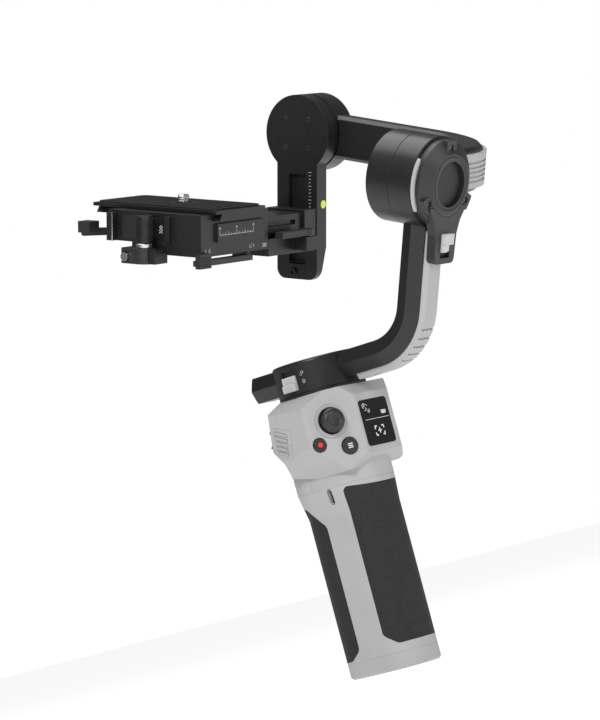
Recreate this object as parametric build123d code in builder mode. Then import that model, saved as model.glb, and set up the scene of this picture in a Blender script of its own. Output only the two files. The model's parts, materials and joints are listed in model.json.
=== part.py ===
from build123d import *
from math import cos, radians, sin, tan
import os

# A three-axis handheld camera gimbal.
# Frame: +Z up along the handle and the pan axis, +Y forward (lens side), +X to the operator's right.
# Origin: centre of the tripod thread's mouth in the flat base.  Sizes are millimetres.

# ---------------------------------------------------------------- driving dimensions
part_gap = 0.3            # clearance between pieces that move against each other
running_fit = 0.05        # radial clearance of a shaft in its bearing
wall = 2.2                # moulded shell wall

grip_width = 40.0         # handle, left to right
grip_depth = 52.0         # handle, front to rear
grip_corner = 18.0
cap_height = 9.0          # base cap at the bottom of the handle
taper_start = 90.0        # the handle widens into the neck above this height
neck_base = 105.0         # joint between the handle shell and the head shells
neck_width = 44.0
neck_depth = 54.5
neck_shift = 1.2          # the neck is this much further forward than the handle
pad_thickness = 1.6       # rubber grip pads
strip_front = 6.0         # bare strip on each side of the handle, front edge
strip_rear = -12.0        # and rear edge

insert_diameter = 11.0    # steel insert with the 1/4 inch tripod thread
thread_bore = 5.5
cell_diameter = 18.3
cell_length = 65.0

head_top = 157.0
head_half_width = 36.5    # right side
head_left = 39.5          # left end of the joystick facet
head_front = 33.0
head_rear = 28.5
panel_bottom = 118.0
panel_edge = -11.5        # x where the screen facet meets the joystick facet
screen_right = 19.5       # x where the screen facet ends
stick_facet_turn = 30.0   # joystick facet turns this many degrees to the left

screen_width = 25.2
screen_height = 25.5
screen_thickness = 1.2
screen_x = 3.0
screen_z = 134.0
stick_along = 16.8        # joystick centre, along its facet from the panel edge
stick_z = 139.7
stick_cap_diameter = 14.0
stick_cap_height = 3.4
stick_depth = 6.0         # pivot of the joystick behind the facet
stick_pin_radius = 0.8    # pins of the joystick's two crossed hinges
bezel_diameter = 18.6
bezel_bore = 15.0
record_diameter = 7.5
record_offset = (-9.8, -11.4)
mode_diameter = 9.2
mode_offset = (7.2, -15.5)
button_proud = 1.0
button_flange = 0.6       # retaining flange behind the wall
power_diameter = 7.0
power_place = (2.0, 138.0)     # y and z on the right side of the head

trigger_width = 14.0
trigger_pivot = (27.0, 146.6)  # y and z
trigger_bottom = 134.6
trigger_reach = 40.5
pin_diameter = 2.0
wheel_diameter = 10.6
wheel_width = 10.0
wheel_centre = (27.2, 112.8)   # y and z
axle_diameter = 2.5

port_z = 100.0            # charging port, on the left strip
port_length = 9.0
port_width = 3.2

motor_diameter = 49.0     # pan motor
collar_top = 158.6
pan_top = 176.5
motor_wall = 2.0
shaft_diameter = 6.0
bearing_diameter = 12.0
bearing_width = 3.0
hub_diameter = 16.0       # stator tube inside each motor
stator_diameter = 38.0
magnet_gap = 0.5

arm_height = 168.5        # centre of the lower arm above the base
arm_thickness = 14.4
arm_half_width = 10.6     # at the ridge of the flank
arm_face_half = 7.4       # half width of the flat inner face
arm_bend = 30.0           # centre-line radius
cover_thickness = 3.3
cover_half_width = 8.8
stub_reach = 43.0

switch_turn = radians(4.4)    # the pan lock switch sits this far ahead of the left side
switch_width = 9.4
switch_bottom = 160.9
switch_height = 8.4
switch_travel = 3.0       # every lock switch slides this far
roll_switch_height = 10.0
roll_switch_width = 8.0
slot_top = -26.5          # top of the roll lock's slot, above the roll axis
bracket_bottom = -43.0
accent_half_turn = 36.0   # the light arc beside the roll cap, each way from the left

roll_lean = 24.0          # the roll axis points this far above the horizontal
roll_y = -103.7
roll_z = 250.2
roll_diameter = 50.0
roll_rear = 7.7           # housing behind the roll point
roll_front = 6.7          # housing ahead of the roll point
roll_cap_depth = 9.3
rotor_reach = 22.0        # front face of the rotor ahead of the roll point
roll_arm_height = 25.0
roll_arm_rear = 8.0       # cross part of the roll arm, ahead of the roll point
roll_arm_front = 25.0
side_inner = 90.0         # side part of the roll arm, x of its inner face
side_outer = 102.0
side_cover = 2.5
side_cover_half = 9.5
side_cover_start = 32.0
side_cover_end = 70.0
corner_outer = 55.0
corner_inner = 43.0

stage_pitch = 18.8        # the camera stage points up by this much at rest
tilt_reach = 148.0        # tilt axis ahead of the roll point, along the roll axis
tilt_diameter = 45.0
tilt_outer = 104.5        # outer face of the tilt motor
plate_inner = 79.0        # x of the tilt plate's inner face
plate_thickness = 9.0
plate_half = 14.5         # half length of the tilt plate, front to rear
plate_bottom = 199.0

base_left = -30.0         # base block on the stage: r to the right, f forward, u up
base_right = 30.0
base_rear = 113.0
base_front = 180.0
base_bottom = 222.0
base_top = 245.4
camera_plate_rear = 108.5
camera_plate_front = 198.5
camera_plate_half = 22.0
channel_bottom = 241.5
dovetail_top_half = 16.5
dovetail_bottom_half = 19.0
flange_thickness = 2.0
rubber_thickness = 1.0
camera_screw_place = 150.0
camera_screw_diameter = 6.35
thread_relief = 0.4       # the captive screw's shank below its thread
rail_front = 138.0
rail_rear = 118.0
rail_bottom = 230.0
rail_top = 239.5
rail_left = -20.0
carriage_left = 68.0
carriage_bottom = 217.0
carriage_top = 241.0

# ---------------------------------------------------------------- frames
lean_cos, lean_sin = cos(radians(roll_lean)), sin(radians(roll_lean))
pitch_cos, pitch_sin = cos(radians(stage_pitch)), sin(radians(stage_pitch))
stage = Plane(origin=(0, 0, 0), x_dir=(1, 0, 0), z_dir=(0, -pitch_sin, pitch_cos))


def on_roll(x, ahead, above):
    """A point x to the right, ahead along the roll axis and above it."""
    return (
        x,
        roll_y + ahead * lean_cos - above * lean_sin,
        roll_z + ahead * lean_sin + above * lean_cos,
    )


def roll_face(ahead):
    """Plane across the roll axis that faces the rear, with x right and y up."""
    return Plane(origin=on_roll(0, ahead, 0), x_dir=(1, 0, 0), z_dir=(0, -lean_cos, -lean_sin))


def roll_level(above):
    """Plane along the roll axis, with x right and y ahead."""
    return Plane(origin=on_roll(0, 0, above), x_dir=(1, 0, 0), z_dir=(0, -lean_sin, lean_cos))


tilt_point = on_roll(0, tilt_reach, 0)
tilt_f = tilt_point[1] * pitch_cos + tilt_point[2] * pitch_sin
tilt_u = -tilt_point[1] * pitch_sin + tilt_point[2] * pitch_cos


def tilt_face(x):
    """Plane across the tilt axis that faces +X, centred on the axis."""
    return Plane(origin=(x, tilt_point[1], tilt_point[2]), x_dir=(0, pitch_cos, pitch_sin), z_dir=(1, 0, 0))


def stage_face(x):
    """Plane across X on the stage, with x forward and y up."""
    return Plane(origin=(x, 0, 0), x_dir=(0, pitch_cos, pitch_sin), z_dir=(1, 0, 0))


def stage_back(f, r=0.0, u=0.0):
    """Plane across the stage that faces the rear, with x right and y up."""
    return Plane(
        origin=stage.from_local_coords((r, f, u)), x_dir=(1, 0, 0), z_dir=(0, -pitch_cos, -pitch_sin)
    )


def stage_block(r0, r1, f0, f1, u0, u1, mode=Mode.ADD):
    """A block on the stage, from its two corners."""
    with Locations(((r0 + r1) / 2, (f0 + f1) / 2, (u0 + u1) / 2)):
        Box(r1 - r0, f1 - f0, u1 - u0, mode=mode)


def ring(plane, outer, inner, length):
    """A plain tube that stands on a plane."""
    with BuildPart() as tube:
        with BuildSketch(plane):
            Circle(outer / 2)
            Circle(inner / 2, mode=Mode.SUBTRACT)
        extrude(amount=length)
    return tube


# ---------------------------------------------------------------- handle
def grip_section(inset):
    """Oval section of the handle, moved inwards by inset."""
    with BuildSketch(Plane.XY) as section:
        RectangleRounded(grip_width - 2 * inset, grip_depth - 2 * inset, grip_corner - inset)
    return section.sketch


def neck_section(inset):
    """Section where the handle meets the head, moved inwards by inset."""
    with BuildSketch(Plane.XY) as section:
        with Locations((0, neck_shift)):
            RectangleRounded(neck_width - 2 * inset, neck_depth - 2 * inset, grip_corner + 1 - inset)
    return section.sketch


def grip_body(inset):
    """The handle's solid from the cap to the neck, moved inwards by inset."""
    with BuildPart() as body:
        add(extrude(grip_section(inset), amount=taper_start))
        add(
            loft(
                [
                    Plane.XY.offset(taper_start) * grip_section(inset),
                    Plane.XY.offset(neck_base) * neck_section(inset),
                ]
            )
        )
    return body.part


def pad_outline(front):
    """Side view of a grip pad, in y and z."""
    far = grip_depth
    if front:
        points = [(strip_front, 15), (13, 10), (far, 9.5), (far, 97.5), (18, 97), (strip_front, 85)]
        radii = 5.0
    else:
        points = [(strip_rear, 20), (-19, 14), (-far, 14), (-far, 97.5), (-24, 102), (strip_rear, 104)]
        radii = 3.0
    with BuildSketch(Plane.YZ) as outline:
        with BuildLine():
            Polyline(*points, close=True)
        make_face()
        fillet([v for v in outline.vertices() if abs(v.X) < far - 1], radii)
    return outline.sketch


def grip_pad(front):
    """A rubber pad that wraps the front or the rear of the handle."""
    with BuildPart() as pad:
        add(grip_body(0))
        add(grip_body(pad_thickness), mode=Mode.SUBTRACT)
        extrude(pad_outline(front), amount=grip_width, both=True, mode=Mode.INTERSECT)
    return pad


front_grip_pad = grip_pad(True)
rear_grip_pad = grip_pad(False)
inner_inset = wall + pad_thickness
port_y = (strip_front + strip_rear) / 2

with BuildPart() as handle_shell:
    add(grip_body(0))
    with BuildSketch(Plane.XY):
        Rectangle(2 * grip_width, 2 * grip_depth)
    extrude(amount=cap_height, mode=Mode.SUBTRACT)
    add(grip_body(inner_inset), mode=Mode.SUBTRACT)
    add(front_grip_pad.part, mode=Mode.SUBTRACT)
    add(rear_grip_pad.part, mode=Mode.SUBTRACT)
    with BuildSketch(Plane(origin=(-neck_width / 2, port_y, port_z), x_dir=(0, -1, 0), z_dir=(-1, 0, 0))):
        SlotOverall(port_length, port_width, rotation=90)
    extrude(amount=neck_width / 4, both=True, mode=Mode.SUBTRACT)

with BuildPart() as base_cap:
    add(extrude(grip_section(0), amount=cap_height))
    chamfer(base_cap.faces().sort_by(Axis.Z)[0].edges(), 1.2)
    with BuildSketch(Plane.XY):
        Circle(insert_diameter / 2)
    extrude(amount=cap_height, mode=Mode.SUBTRACT)

tripod_insert = ring(Plane.XY, insert_diameter, thread_bore, cap_height)

cell_pitch = cell_diameter + 1.2
carrier_top = cap_height + cell_length + 9
with BuildPart() as battery_carrier:
    with BuildSketch(Plane.XY.offset(cap_height)):
        add(grip_section(inner_inset + part_gap))
    extrude(amount=carrier_top - cap_height)
    with BuildSketch(Plane.XY.offset(cap_height + 4)):
        with Locations((0, -cell_pitch / 2), (0, cell_pitch / 2)):
            Circle(cell_diameter / 2 + part_gap)
        Rectangle(grip_width, cell_diameter)
    extrude(amount=cell_length, mode=Mode.SUBTRACT)

with BuildPart() as battery_cells:
    with BuildSketch(Plane.XY.offset(cap_height + 4)):
        with Locations((0, -cell_pitch / 2), (0, cell_pitch / 2)):
            Circle(cell_diameter / 2)
    extrude(amount=cell_length)
    chamfer(battery_cells.edges().filter_by(GeomType.CIRCLE), 0.6)

# ---------------------------------------------------------------- head
facet_cos, facet_sin = cos(radians(stick_facet_turn)), sin(radians(stick_facet_turn))
facet_left = -head_left
facet_run = (panel_edge - facet_left) / facet_cos
screen_plane = Plane(origin=(screen_x, -head_rear, screen_z), x_dir=(1, 0, 0), z_dir=(0, -1, 0))
stick_plane = Plane(
    origin=(panel_edge - stick_along * facet_cos, -head_rear + stick_along * facet_sin, stick_z),
    x_dir=(facet_cos, -facet_sin, 0),
    z_dir=(-facet_sin, -facet_cos, 0),
)


def head_plan(inset):
    """Plan outline of the head."""
    with BuildSketch(Plane.XY) as plan:
        with BuildLine():
            Polyline(
                (panel_edge, -head_rear),
                (screen_right, -head_rear),
                (head_half_width - 2.5, -14.5),
                (head_half_width - 1.5, 14),
                (15, head_front),
                (-15, head_front),
                (-head_left + 3.5, 15),
                (facet_left, -head_rear + facet_run * facet_sin),
                close=True,
            )
        make_face()
        fillet(plan.vertices().group_by(Axis.Y)[0], 2.5)
        fillet(plan.vertices().group_by(Axis.Y)[-1], 8)
        offset(amount=-inset)
    return plan.sketch


def head_side(inset):
    """Side outline of the head, in y and z."""
    collar = motor_diameter / 2
    with BuildSketch(Plane.YZ) as side:
        with BuildLine():
            Polyline(
                (-head_rear, panel_bottom),
                (-head_rear, head_top - 6),
                (-collar, head_top),
                (collar, head_top),
                (head_front - 2.5, head_top - 5),
                (head_front, 132.5),
                (27.5, 124.4),
                (25.5, 118),
                (0, 111),
                (-22, 111.5),
                close=True,
            )
        make_face()
        offset(amount=-inset)
    return side.sketch


def head_front_view(inset):
    """Front outline of the head, in x and z."""
    with BuildSketch(Plane.XZ) as view:
        with BuildLine():
            Polyline(
                (-20, 109),
                (-31, 119),
                (-head_left - 1, 129),
                (-head_left - 1, head_top - 8),
                (-motor_diameter / 2 - 1, head_top),
                (motor_diameter / 2 + 1, head_top),
                (head_half_width, head_top - 8),
                (head_half_width, 124),
                (20, 109),
                close=True,
            )
        make_face()
        fillet([v for v in view.vertices() if abs(v.X) > head_half_width - 1], 3)
        offset(amount=-inset)
    return view.sketch


def head_corner_view(side, inset):
    """Outline seen along a front corner of the head, in distance from the axis and z."""
    across, along = side * 0.63, 0.777
    with BuildSketch(Plane(origin=(0, 0, 0), x_dir=(across, along, 0), z_dir=(along, -across, 0))) as view:
        with BuildLine():
            Polyline(
                (-60, 105),
                (28.8, 105),
                (28.8, 118),
                (30.6, 124.4),
                (35.3, 132.5),
                (33, head_top - 4.8),
                (motor_diameter / 2 + 0.6, head_top),
                (-60, head_top),
                close=True,
            )
        make_face()
        offset(amount=-inset)
    return view.sketch


def head_block(inset):
    """Outer solid of the head, moved inwards by inset."""
    with BuildPart() as block:
        add(extrude(head_plan(inset), amount=head_top))
        extrude(head_side(inset), amount=2 * head_half_width, both=True, mode=Mode.INTERSECT)
        extrude(head_front_view(inset), amount=2 * head_front, both=True, mode=Mode.INTERSECT)
        for side in (-1, 1):
            extrude(head_corner_view(side, inset), amount=2 * head_front, both=True, mode=Mode.INTERSECT)
    with BuildPart() as neck:
        add(
            loft(
                [
                    Plane.XY.offset(neck_base) * neck_section(inset),
                    Plane.XY.offset(panel_bottom + 6) * neck_section(inset),
                ]
            )
        )
    return block.part + neck.part


def bore_into(plane, place, diameter, depth):
    """A round bore behind a facet."""
    with BuildPart() as cutter:
        with BuildSketch(plane):
            with Locations(place):
                Circle(diameter / 2)
        extrude(amount=depth, both=True)
    return cutter.part


split_y = 8.0
pocket_half = trigger_width / 2 + 0.5
wheel_half = wheel_width / 2 + 0.5
power_plane = Plane(origin=(head_half_width, 0, 0), x_dir=(0, 1, 0), z_dir=(1, 0, 0))

with BuildPart() as head_shells:
    add(head_block(0))
    add(head_block(wall), mode=Mode.SUBTRACT)
    add(bore_into(Plane.XY.offset(head_top), (0, 0), motor_diameter - 9, 2 * wall), mode=Mode.SUBTRACT)
    add(bore_into(Plane.XY.offset(neck_base), (0, 0), 30, 2 * wall), mode=Mode.SUBTRACT)
    add(bore_into(stick_plane, (0, 0), bezel_diameter - 1.2, 2 * wall), mode=Mode.SUBTRACT)
    add(bore_into(stick_plane, record_offset, record_diameter + 2 * part_gap, 2 * wall), mode=Mode.SUBTRACT)
    add(bore_into(stick_plane, mode_offset, mode_diameter + 2 * part_gap, 2 * wall), mode=Mode.SUBTRACT)
    # room for the record button's flange beside the left wall
    with BuildSketch(stick_plane.offset(-wall - 2)):
        with Locations(record_offset):
            Circle(record_diameter / 2 + button_flange + part_gap)
    extrude(amount=2, mode=Mode.SUBTRACT)
    add(bore_into(power_plane, power_place, power_diameter + 2 * part_gap, 2 * wall), mode=Mode.SUBTRACT)
    with BuildSketch(screen_plane):
        RectangleRounded(screen_width, screen_height, 2)
    extrude(amount=-screen_thickness, mode=Mode.SUBTRACT)
    with Locations((0, head_front, (trigger_pivot[1] + trigger_bottom) / 2)):
        Box(2 * pocket_half, 12, trigger_pivot[1] - trigger_bottom + 6, mode=Mode.SUBTRACT)
    with Locations((0, head_front, wheel_centre[1])):
        Box(2 * wheel_half, 16, wheel_diameter + 1, mode=Mode.SUBTRACT)

with BuildPart() as head_rear_shell:
    add(head_shells.part)
    split(bisect_by=Plane.XZ.offset(-split_y), keep=Keep.TOP)

with BuildPart() as head_front_shell:
    add(head_shells.part)
    split(bisect_by=Plane.XZ.offset(-split_y), keep=Keep.BOTTOM)
    # bosses that hold the trigger pin and the wheel axle
    for side in (-1, 1):
        with Locations((side * (pocket_half + 1.5), trigger_pivot[0] - 0.5, trigger_pivot[1])):
            Box(3, 4.6, 5)
        with Locations((side * (wheel_half + 1.5), wheel_centre[0] - 2, wheel_centre[1])):
            Box(3, 4.6, 5)
    with BuildSketch(Plane.YZ):
        with Locations(trigger_pivot):
            Circle(pin_diameter / 2)
        with Locations(wheel_centre):
            Circle(axle_diameter / 2)
    extrude(amount=pocket_half + 3, both=True, mode=Mode.SUBTRACT)

with BuildPart() as display_glass:
    with BuildSketch(screen_plane.offset(-screen_thickness)):
        RectangleRounded(screen_width, screen_height, 2)
    extrude(amount=screen_thickness + 0.2)

with BuildPart() as joystick_bezel:
    sleeve_depth = stick_depth + 4.8
    with BuildSketch(stick_plane):
        Circle(bezel_diameter / 2)
    extrude(amount=0.7)
    with BuildSketch(stick_plane):
        Circle(bezel_diameter / 2 - 0.6)
    extrude(amount=-sleeve_depth)
    with BuildSketch(stick_plane.offset(-sleeve_depth + 1.2)):
        Circle(bezel_bore / 2)
    extrude(amount=sleeve_depth, mode=Mode.SUBTRACT)

stick_pivot = stick_plane.origin - stick_plane.z_dir * stick_depth
lift_plane = Plane(origin=stick_pivot, x_dir=stick_plane.x_dir, z_dir=(0, 0, 1))
with BuildPart() as joystick_gimbal:
    with BuildSketch(stick_plane.offset(-stick_depth - 1.5)):
        Circle(bezel_bore / 2 - 1.2)
        Circle(bezel_bore / 2 - 2.8, mode=Mode.SUBTRACT)
    extrude(amount=3)
    pin_plane = Plane(origin=stick_pivot, z_dir=stick_plane.x_dir)
    with BuildSketch(pin_plane.offset(-bezel_bore / 2 + part_gap), pin_plane.offset(bezel_bore / 2 - 2)):
        Circle(stick_pin_radius)
    extrude(amount=2 - part_gap)
    with BuildSketch(lift_plane):
        Circle(stick_pin_radius + running_fit)
    extrude(amount=bezel_bore, both=True, mode=Mode.SUBTRACT)

with BuildPart() as joystick_cap:
    with BuildSketch(stick_plane.offset(stick_cap_height)):
        Circle(stick_cap_diameter / 2)
    extrude(amount=3.4)
    fillet(joystick_cap.edges(), 1.2)
    with BuildSketch(stick_plane.offset(-stick_depth - 1)):
        Circle(2.2)
    extrude(amount=stick_cap_height + stick_depth + 1.5)
    with BuildSketch(lift_plane):
        Circle(stick_pin_radius)
    extrude(amount=bezel_bore / 2 - 1.6, both=True)

with BuildPart() as record_button:
    with BuildSketch(stick_plane.offset(-wall)):
        with Locations(record_offset):
            Circle(record_diameter / 2)
    extrude(amount=wall + button_proud)
    chamfer(record_button.faces().sort_by(Axis(stick_plane.origin, stick_plane.z_dir))[-1].edges(), 0.5)
    with BuildSketch(stick_plane.offset(-wall - 1.1)):
        with Locations(record_offset):
            Circle(record_diameter / 2 + button_flange)
    extrude(amount=0.8)
    with BuildSketch(stick_plane.offset(-wall - 0.4)):
        with Locations(record_offset):
            Circle(record_diameter / 2 - 0.2)
    extrude(amount=0.6)

with BuildPart() as mode_button:
    with BuildSketch(stick_plane.offset(-wall)):
        with Locations(mode_offset):
            Circle(mode_diameter / 2)
    extrude(amount=wall + button_proud)
    chamfer(mode_button.faces().sort_by(Axis(stick_plane.origin, stick_plane.z_dir))[-1].edges(), 0.5)
    with BuildSketch(stick_plane.offset(-wall - 1.1)):
        with Locations(mode_offset):
            Circle(mode_diameter / 2 + button_flange)
    extrude(amount=0.8)
    with BuildSketch(stick_plane.offset(-wall - 0.4)):
        with Locations(mode_offset):
            Circle(mode_diameter / 2 - 0.2)
    extrude(amount=0.6)

with BuildPart() as power_button:
    with BuildSketch(power_plane.offset(-wall - 1.4)):
        with Locations(power_place):
            Circle(power_diameter / 2)
    extrude(amount=wall + 1.4 + button_proud - 1.2)

with BuildPart() as trigger:
    pivot_y, pivot_z = trigger_pivot
    with BuildSketch(Plane.YZ):
        with BuildLine():
            Polyline(
                (pivot_y - 2.4, pivot_z + 2.2),
                (head_front + 2.5, pivot_z + 2.2),
                (trigger_reach - 1.5, pivot_z - 3),
            )
            ThreePointArc(
                (trigger_reach - 1.5, pivot_z - 3),
                (trigger_reach - 2.6, (pivot_z - 3 + trigger_bottom + 1) / 2),
                (trigger_reach, trigger_bottom + 1),
            )
            Polyline(
                (trigger_reach, trigger_bottom + 1),
                (trigger_reach - 1.5, trigger_bottom),
                (head_front - 1, trigger_bottom),
                (pivot_y - 2.4, pivot_z - 3),
                (pivot_y - 2.4, pivot_z + 2.2),
            )
        make_face()
    extrude(amount=trigger_width / 2, both=True)
    with BuildSketch(Plane.YZ):
        with Locations(trigger_pivot):
            Circle(pin_diameter / 2 + running_fit)
    extrude(amount=trigger_width, both=True, mode=Mode.SUBTRACT)

with BuildPart() as trigger_pin:
    with BuildSketch(Plane.YZ):
        with Locations(trigger_pivot):
            Circle(pin_diameter / 2)
    extrude(amount=pocket_half + 3, both=True)

with BuildPart() as control_wheel:
    with BuildSketch(Plane.YZ):
        with Locations(wheel_centre):
            Circle(wheel_diameter / 2)
            with PolarLocations(wheel_diameter / 2, 16):
                Circle(0.55, mode=Mode.SUBTRACT)
            Circle(axle_diameter / 2 + running_fit, mode=Mode.SUBTRACT)
    extrude(amount=wheel_width / 2, both=True)

with BuildPart() as wheel_axle:
    with BuildSketch(Plane.YZ):
        with Locations(wheel_centre):
            Circle(axle_diameter / 2)
    extrude(amount=wheel_half + 3, both=True)

board_rear = port_y + port_width / 2
port_plane = Plane(origin=(-neck_width / 2 + 2.5, port_y, port_z), x_dir=(0, -1, 0), z_dir=(-1, 0, 0))
with BuildPart() as charging_port:
    with BuildSketch(port_plane):
        SlotOverall(port_length - 0.4, port_width - 0.4, rotation=90)
    extrude(amount=-7.4)
    with BuildSketch(port_plane):
        SlotOverall(port_length - 1.2, port_width - 1.2, rotation=90)
    extrude(amount=-5, mode=Mode.SUBTRACT)
    with BuildSketch(port_plane.offset(-1)):
        Rectangle(0.8, port_length - 3)
    extrude(amount=-5)
    with Locations((-neck_width / 2 + 10, (port_y + board_rear) / 2, port_z)):
        Box(5, board_rear - port_y, port_length - 2)

with BuildPart() as main_board:
    with Locations((0, board_rear + 0.8, (carrier_top + 147) / 2)):
        Box(28, 1.6, 147 - carrier_top)
    for chip_x, chip_z, chip_size in ((-6, 124, 8), (5, 130, 6), (4, 112, 7), (-5, 139, 5)):
        with Locations((chip_x, board_rear + 2.1, chip_z)):
            Box(chip_size, 1.2, chip_size)

# ---------------------------------------------------------------- pan motor
hub_top = pan_top - 4.5
with BuildPart() as pan_motor_base:
    with BuildSketch(Plane.XY.offset(head_top)):
        Circle(motor_diameter / 2)
    extrude(amount=collar_top - head_top)
    with BuildSketch(Plane.XY.offset(head_top - wall)):
        Circle((motor_diameter - 9) / 2)
    extrude(amount=wall)
    with BuildSketch(Plane.XY.offset(collar_top)):
        Circle(hub_diameter / 2)
    extrude(amount=hub_top - collar_top)
    with BuildSketch(Plane.XY.offset(head_top - wall)):
        Circle(bearing_diameter / 2)
    extrude(amount=hub_top, mode=Mode.SUBTRACT)

with BuildPart() as pan_bearings:
    low, high = head_top - wall + 1, hub_top - bearing_width - 1
    with BuildSketch(Plane.XY.offset(low), Plane.XY.offset(high)):
        Circle(bearing_diameter / 2)
        Circle(shaft_diameter / 2 + running_fit, mode=Mode.SUBTRACT)
    extrude(amount=bearing_width)

with BuildPart() as pan_stator:
    with BuildSketch(Plane.XY.offset(collar_top + 1.4)):
        Circle(stator_diameter / 2)
        Circle(hub_diameter / 2, mode=Mode.SUBTRACT)
        with PolarLocations(stator_diameter / 2 - 4, 12):
            Rectangle(6, 2.6, mode=Mode.SUBTRACT)
    extrude(amount=hub_top - collar_top - 2.4)

magnet_bore = stator_diameter + 2 * magnet_gap
housing_bottom = collar_top + part_gap
arm_top = arm_height + arm_thickness / 2


def arm_section(half_width, face_half, half_thick):
    """Six-sided section of the arm, x across and y towards the inner side."""
    return [
        (-half_width, 0),
        (-face_half, -half_thick),
        (face_half, -half_thick),
        (half_width, 0),
        (face_half, half_thick),
        (-face_half, half_thick),
    ]


switch_plane = Plane(
    origin=(-motor_diameter / 2 * cos(switch_turn), motor_diameter / 2 * sin(switch_turn), 0),
    x_dir=(-sin(switch_turn), -cos(switch_turn), 0),
    z_dir=(-cos(switch_turn), sin(switch_turn), 0),
)

with BuildPart() as pan_housing:
    with BuildSketch(Plane.XY.offset(housing_bottom)):
        Circle(motor_diameter / 2)
    extrude(amount=pan_top - housing_bottom)
    fillet(pan_housing.faces().sort_by(Axis.Z)[-1].edges(), 1.6)
    with BuildSketch(Plane(origin=(0, 0, arm_height), x_dir=(1, 0, 0), z_dir=(0, 1, 0))):
        with BuildLine():
            Polyline(*arm_section(arm_half_width, arm_face_half, arm_thickness / 2), close=True)
        make_face()
    extrude(amount=stub_reach)
    chamfer(pan_housing.faces().sort_by(Axis.Y)[-1].edges(), 2.4)
    with BuildSketch(Plane.XY.offset(housing_bottom)):
        Circle(magnet_bore / 2)
    extrude(amount=hub_top + 0.5 - housing_bottom, mode=Mode.SUBTRACT)
    with BuildSketch(Plane.XY.offset(housing_bottom)):
        Circle(shaft_diameter / 2)
    extrude(amount=pan_top - 1 - housing_bottom, mode=Mode.SUBTRACT)
    with BuildSketch(switch_plane):
        with Locations((0, switch_bottom + (switch_height + switch_travel) / 2)):
            Rectangle(switch_width + 2 * part_gap, switch_height + switch_travel + 2 * part_gap)
    extrude(amount=-1.7, mode=Mode.SUBTRACT)

with BuildPart() as pan_shaft:
    with BuildSketch(Plane.XY.offset(head_top - wall - 1)):
        Circle(shaft_diameter / 2)
    extrude(amount=pan_top - 1 - (head_top - wall - 1))

with BuildPart() as pan_lock_switch:
    with BuildSketch(switch_plane.offset(-1.4)):
        with Locations((0, switch_bottom + switch_height / 2)):
            Rectangle(switch_width, switch_height)
    extrude(amount=2.2)
    with BuildSketch(switch_plane.offset(0.8)):
        with Locations((0, switch_bottom + switch_height / 4)):
            Rectangle(switch_width, switch_height / 2)
    extrude(amount=1.4)
    chamfer(pan_lock_switch.faces().sort_by(Axis.X)[0].edges(), 0.35)

# ---------------------------------------------------------------- pan arm
arm_turn = 90 - roll_lean
arm_middle = (roll_front - roll_rear) / 2
upper_drop = (on_roll(0, arm_middle, 0)[2] - arm_height) / lean_cos
arm_corner = on_roll(0, arm_middle, -upper_drop)
arm_start_y = -motor_diameter / 2 + 4
bend_run = arm_bend * tan(radians(arm_turn / 2))
arm_start_plane = Plane(origin=(0, arm_start_y, arm_height), x_dir=(1, 0, 0), z_dir=(0, -1, 0))
cover_start_plane = Plane(
    origin=(0, -motor_diameter / 2 - 5, arm_height), x_dir=(1, 0, 0), z_dir=(0, -1, 0)
)


def arm_path(start_y, stop_above):
    """Centre line of the pan arm in the middle plane, bent once."""
    stop = on_roll(0, arm_middle, stop_above)
    with BuildLine(Plane.YZ) as path:
        FilletPolyline((start_y, arm_height), (arm_corner[1], arm_corner[2]), (stop[1], stop[2]), radius=arm_bend)
    return path.line


with BuildPart() as roll_motor_core:
    with BuildSketch(roll_face(roll_front)):
        Circle(roll_diameter / 2)
    extrude(amount=roll_front + roll_rear)

with BuildPart() as pan_arm_shell:
    with BuildSketch(arm_start_plane) as arm_profile:
        with BuildLine():
            Polyline(*arm_section(arm_half_width, arm_face_half, arm_thickness / 2), close=True)
        make_face()
    sweep(sections=arm_profile.sketch, path=arm_path(arm_start_y, -roll_diameter / 2 + 5))
    add(pan_housing.part, mode=Mode.SUBTRACT)
    add(bore_into(Plane.XY.offset(arm_height), (0, 0), motor_diameter, pan_top - arm_height), mode=Mode.SUBTRACT)
    add(roll_motor_core.part, mode=Mode.SUBTRACT)

with BuildPart() as pan_arm_cover:
    cover_y = -arm_thickness / 2 - cover_thickness / 2
    with BuildSketch(cover_start_plane) as cover_profile:
        with Locations((0, cover_y)):
            Trapezoid(2 * cover_half_width - 2 * cover_thickness + 2, cover_thickness, 115)
    sweep(sections=cover_profile.sketch, path=arm_path(-motor_diameter / 2 - 5, -roll_diameter / 2 - 1))
    # grip grooves across the outside of the bend
    bend_centre_y = arm_corner[1] + bend_run
    bend_centre_z = arm_height + arm_bend
    outer_radius = arm_bend + arm_thickness / 2 + cover_thickness
    for step in range(5):
        turn = radians(arm_turn * (0.3 + 0.12 * step))
        groove_y = bend_centre_y - outer_radius * sin(turn)
        groove_z = bend_centre_z - outer_radius * cos(turn)
        groove = Plane(origin=(0, groove_y, groove_z), x_dir=(1, 0, 0), z_dir=(0, sin(turn), cos(turn)))
        with BuildSketch(groove):
            Rectangle(2 * cover_half_width - 6, 1.2)
        extrude(amount=0.8, mode=Mode.SUBTRACT)

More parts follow.
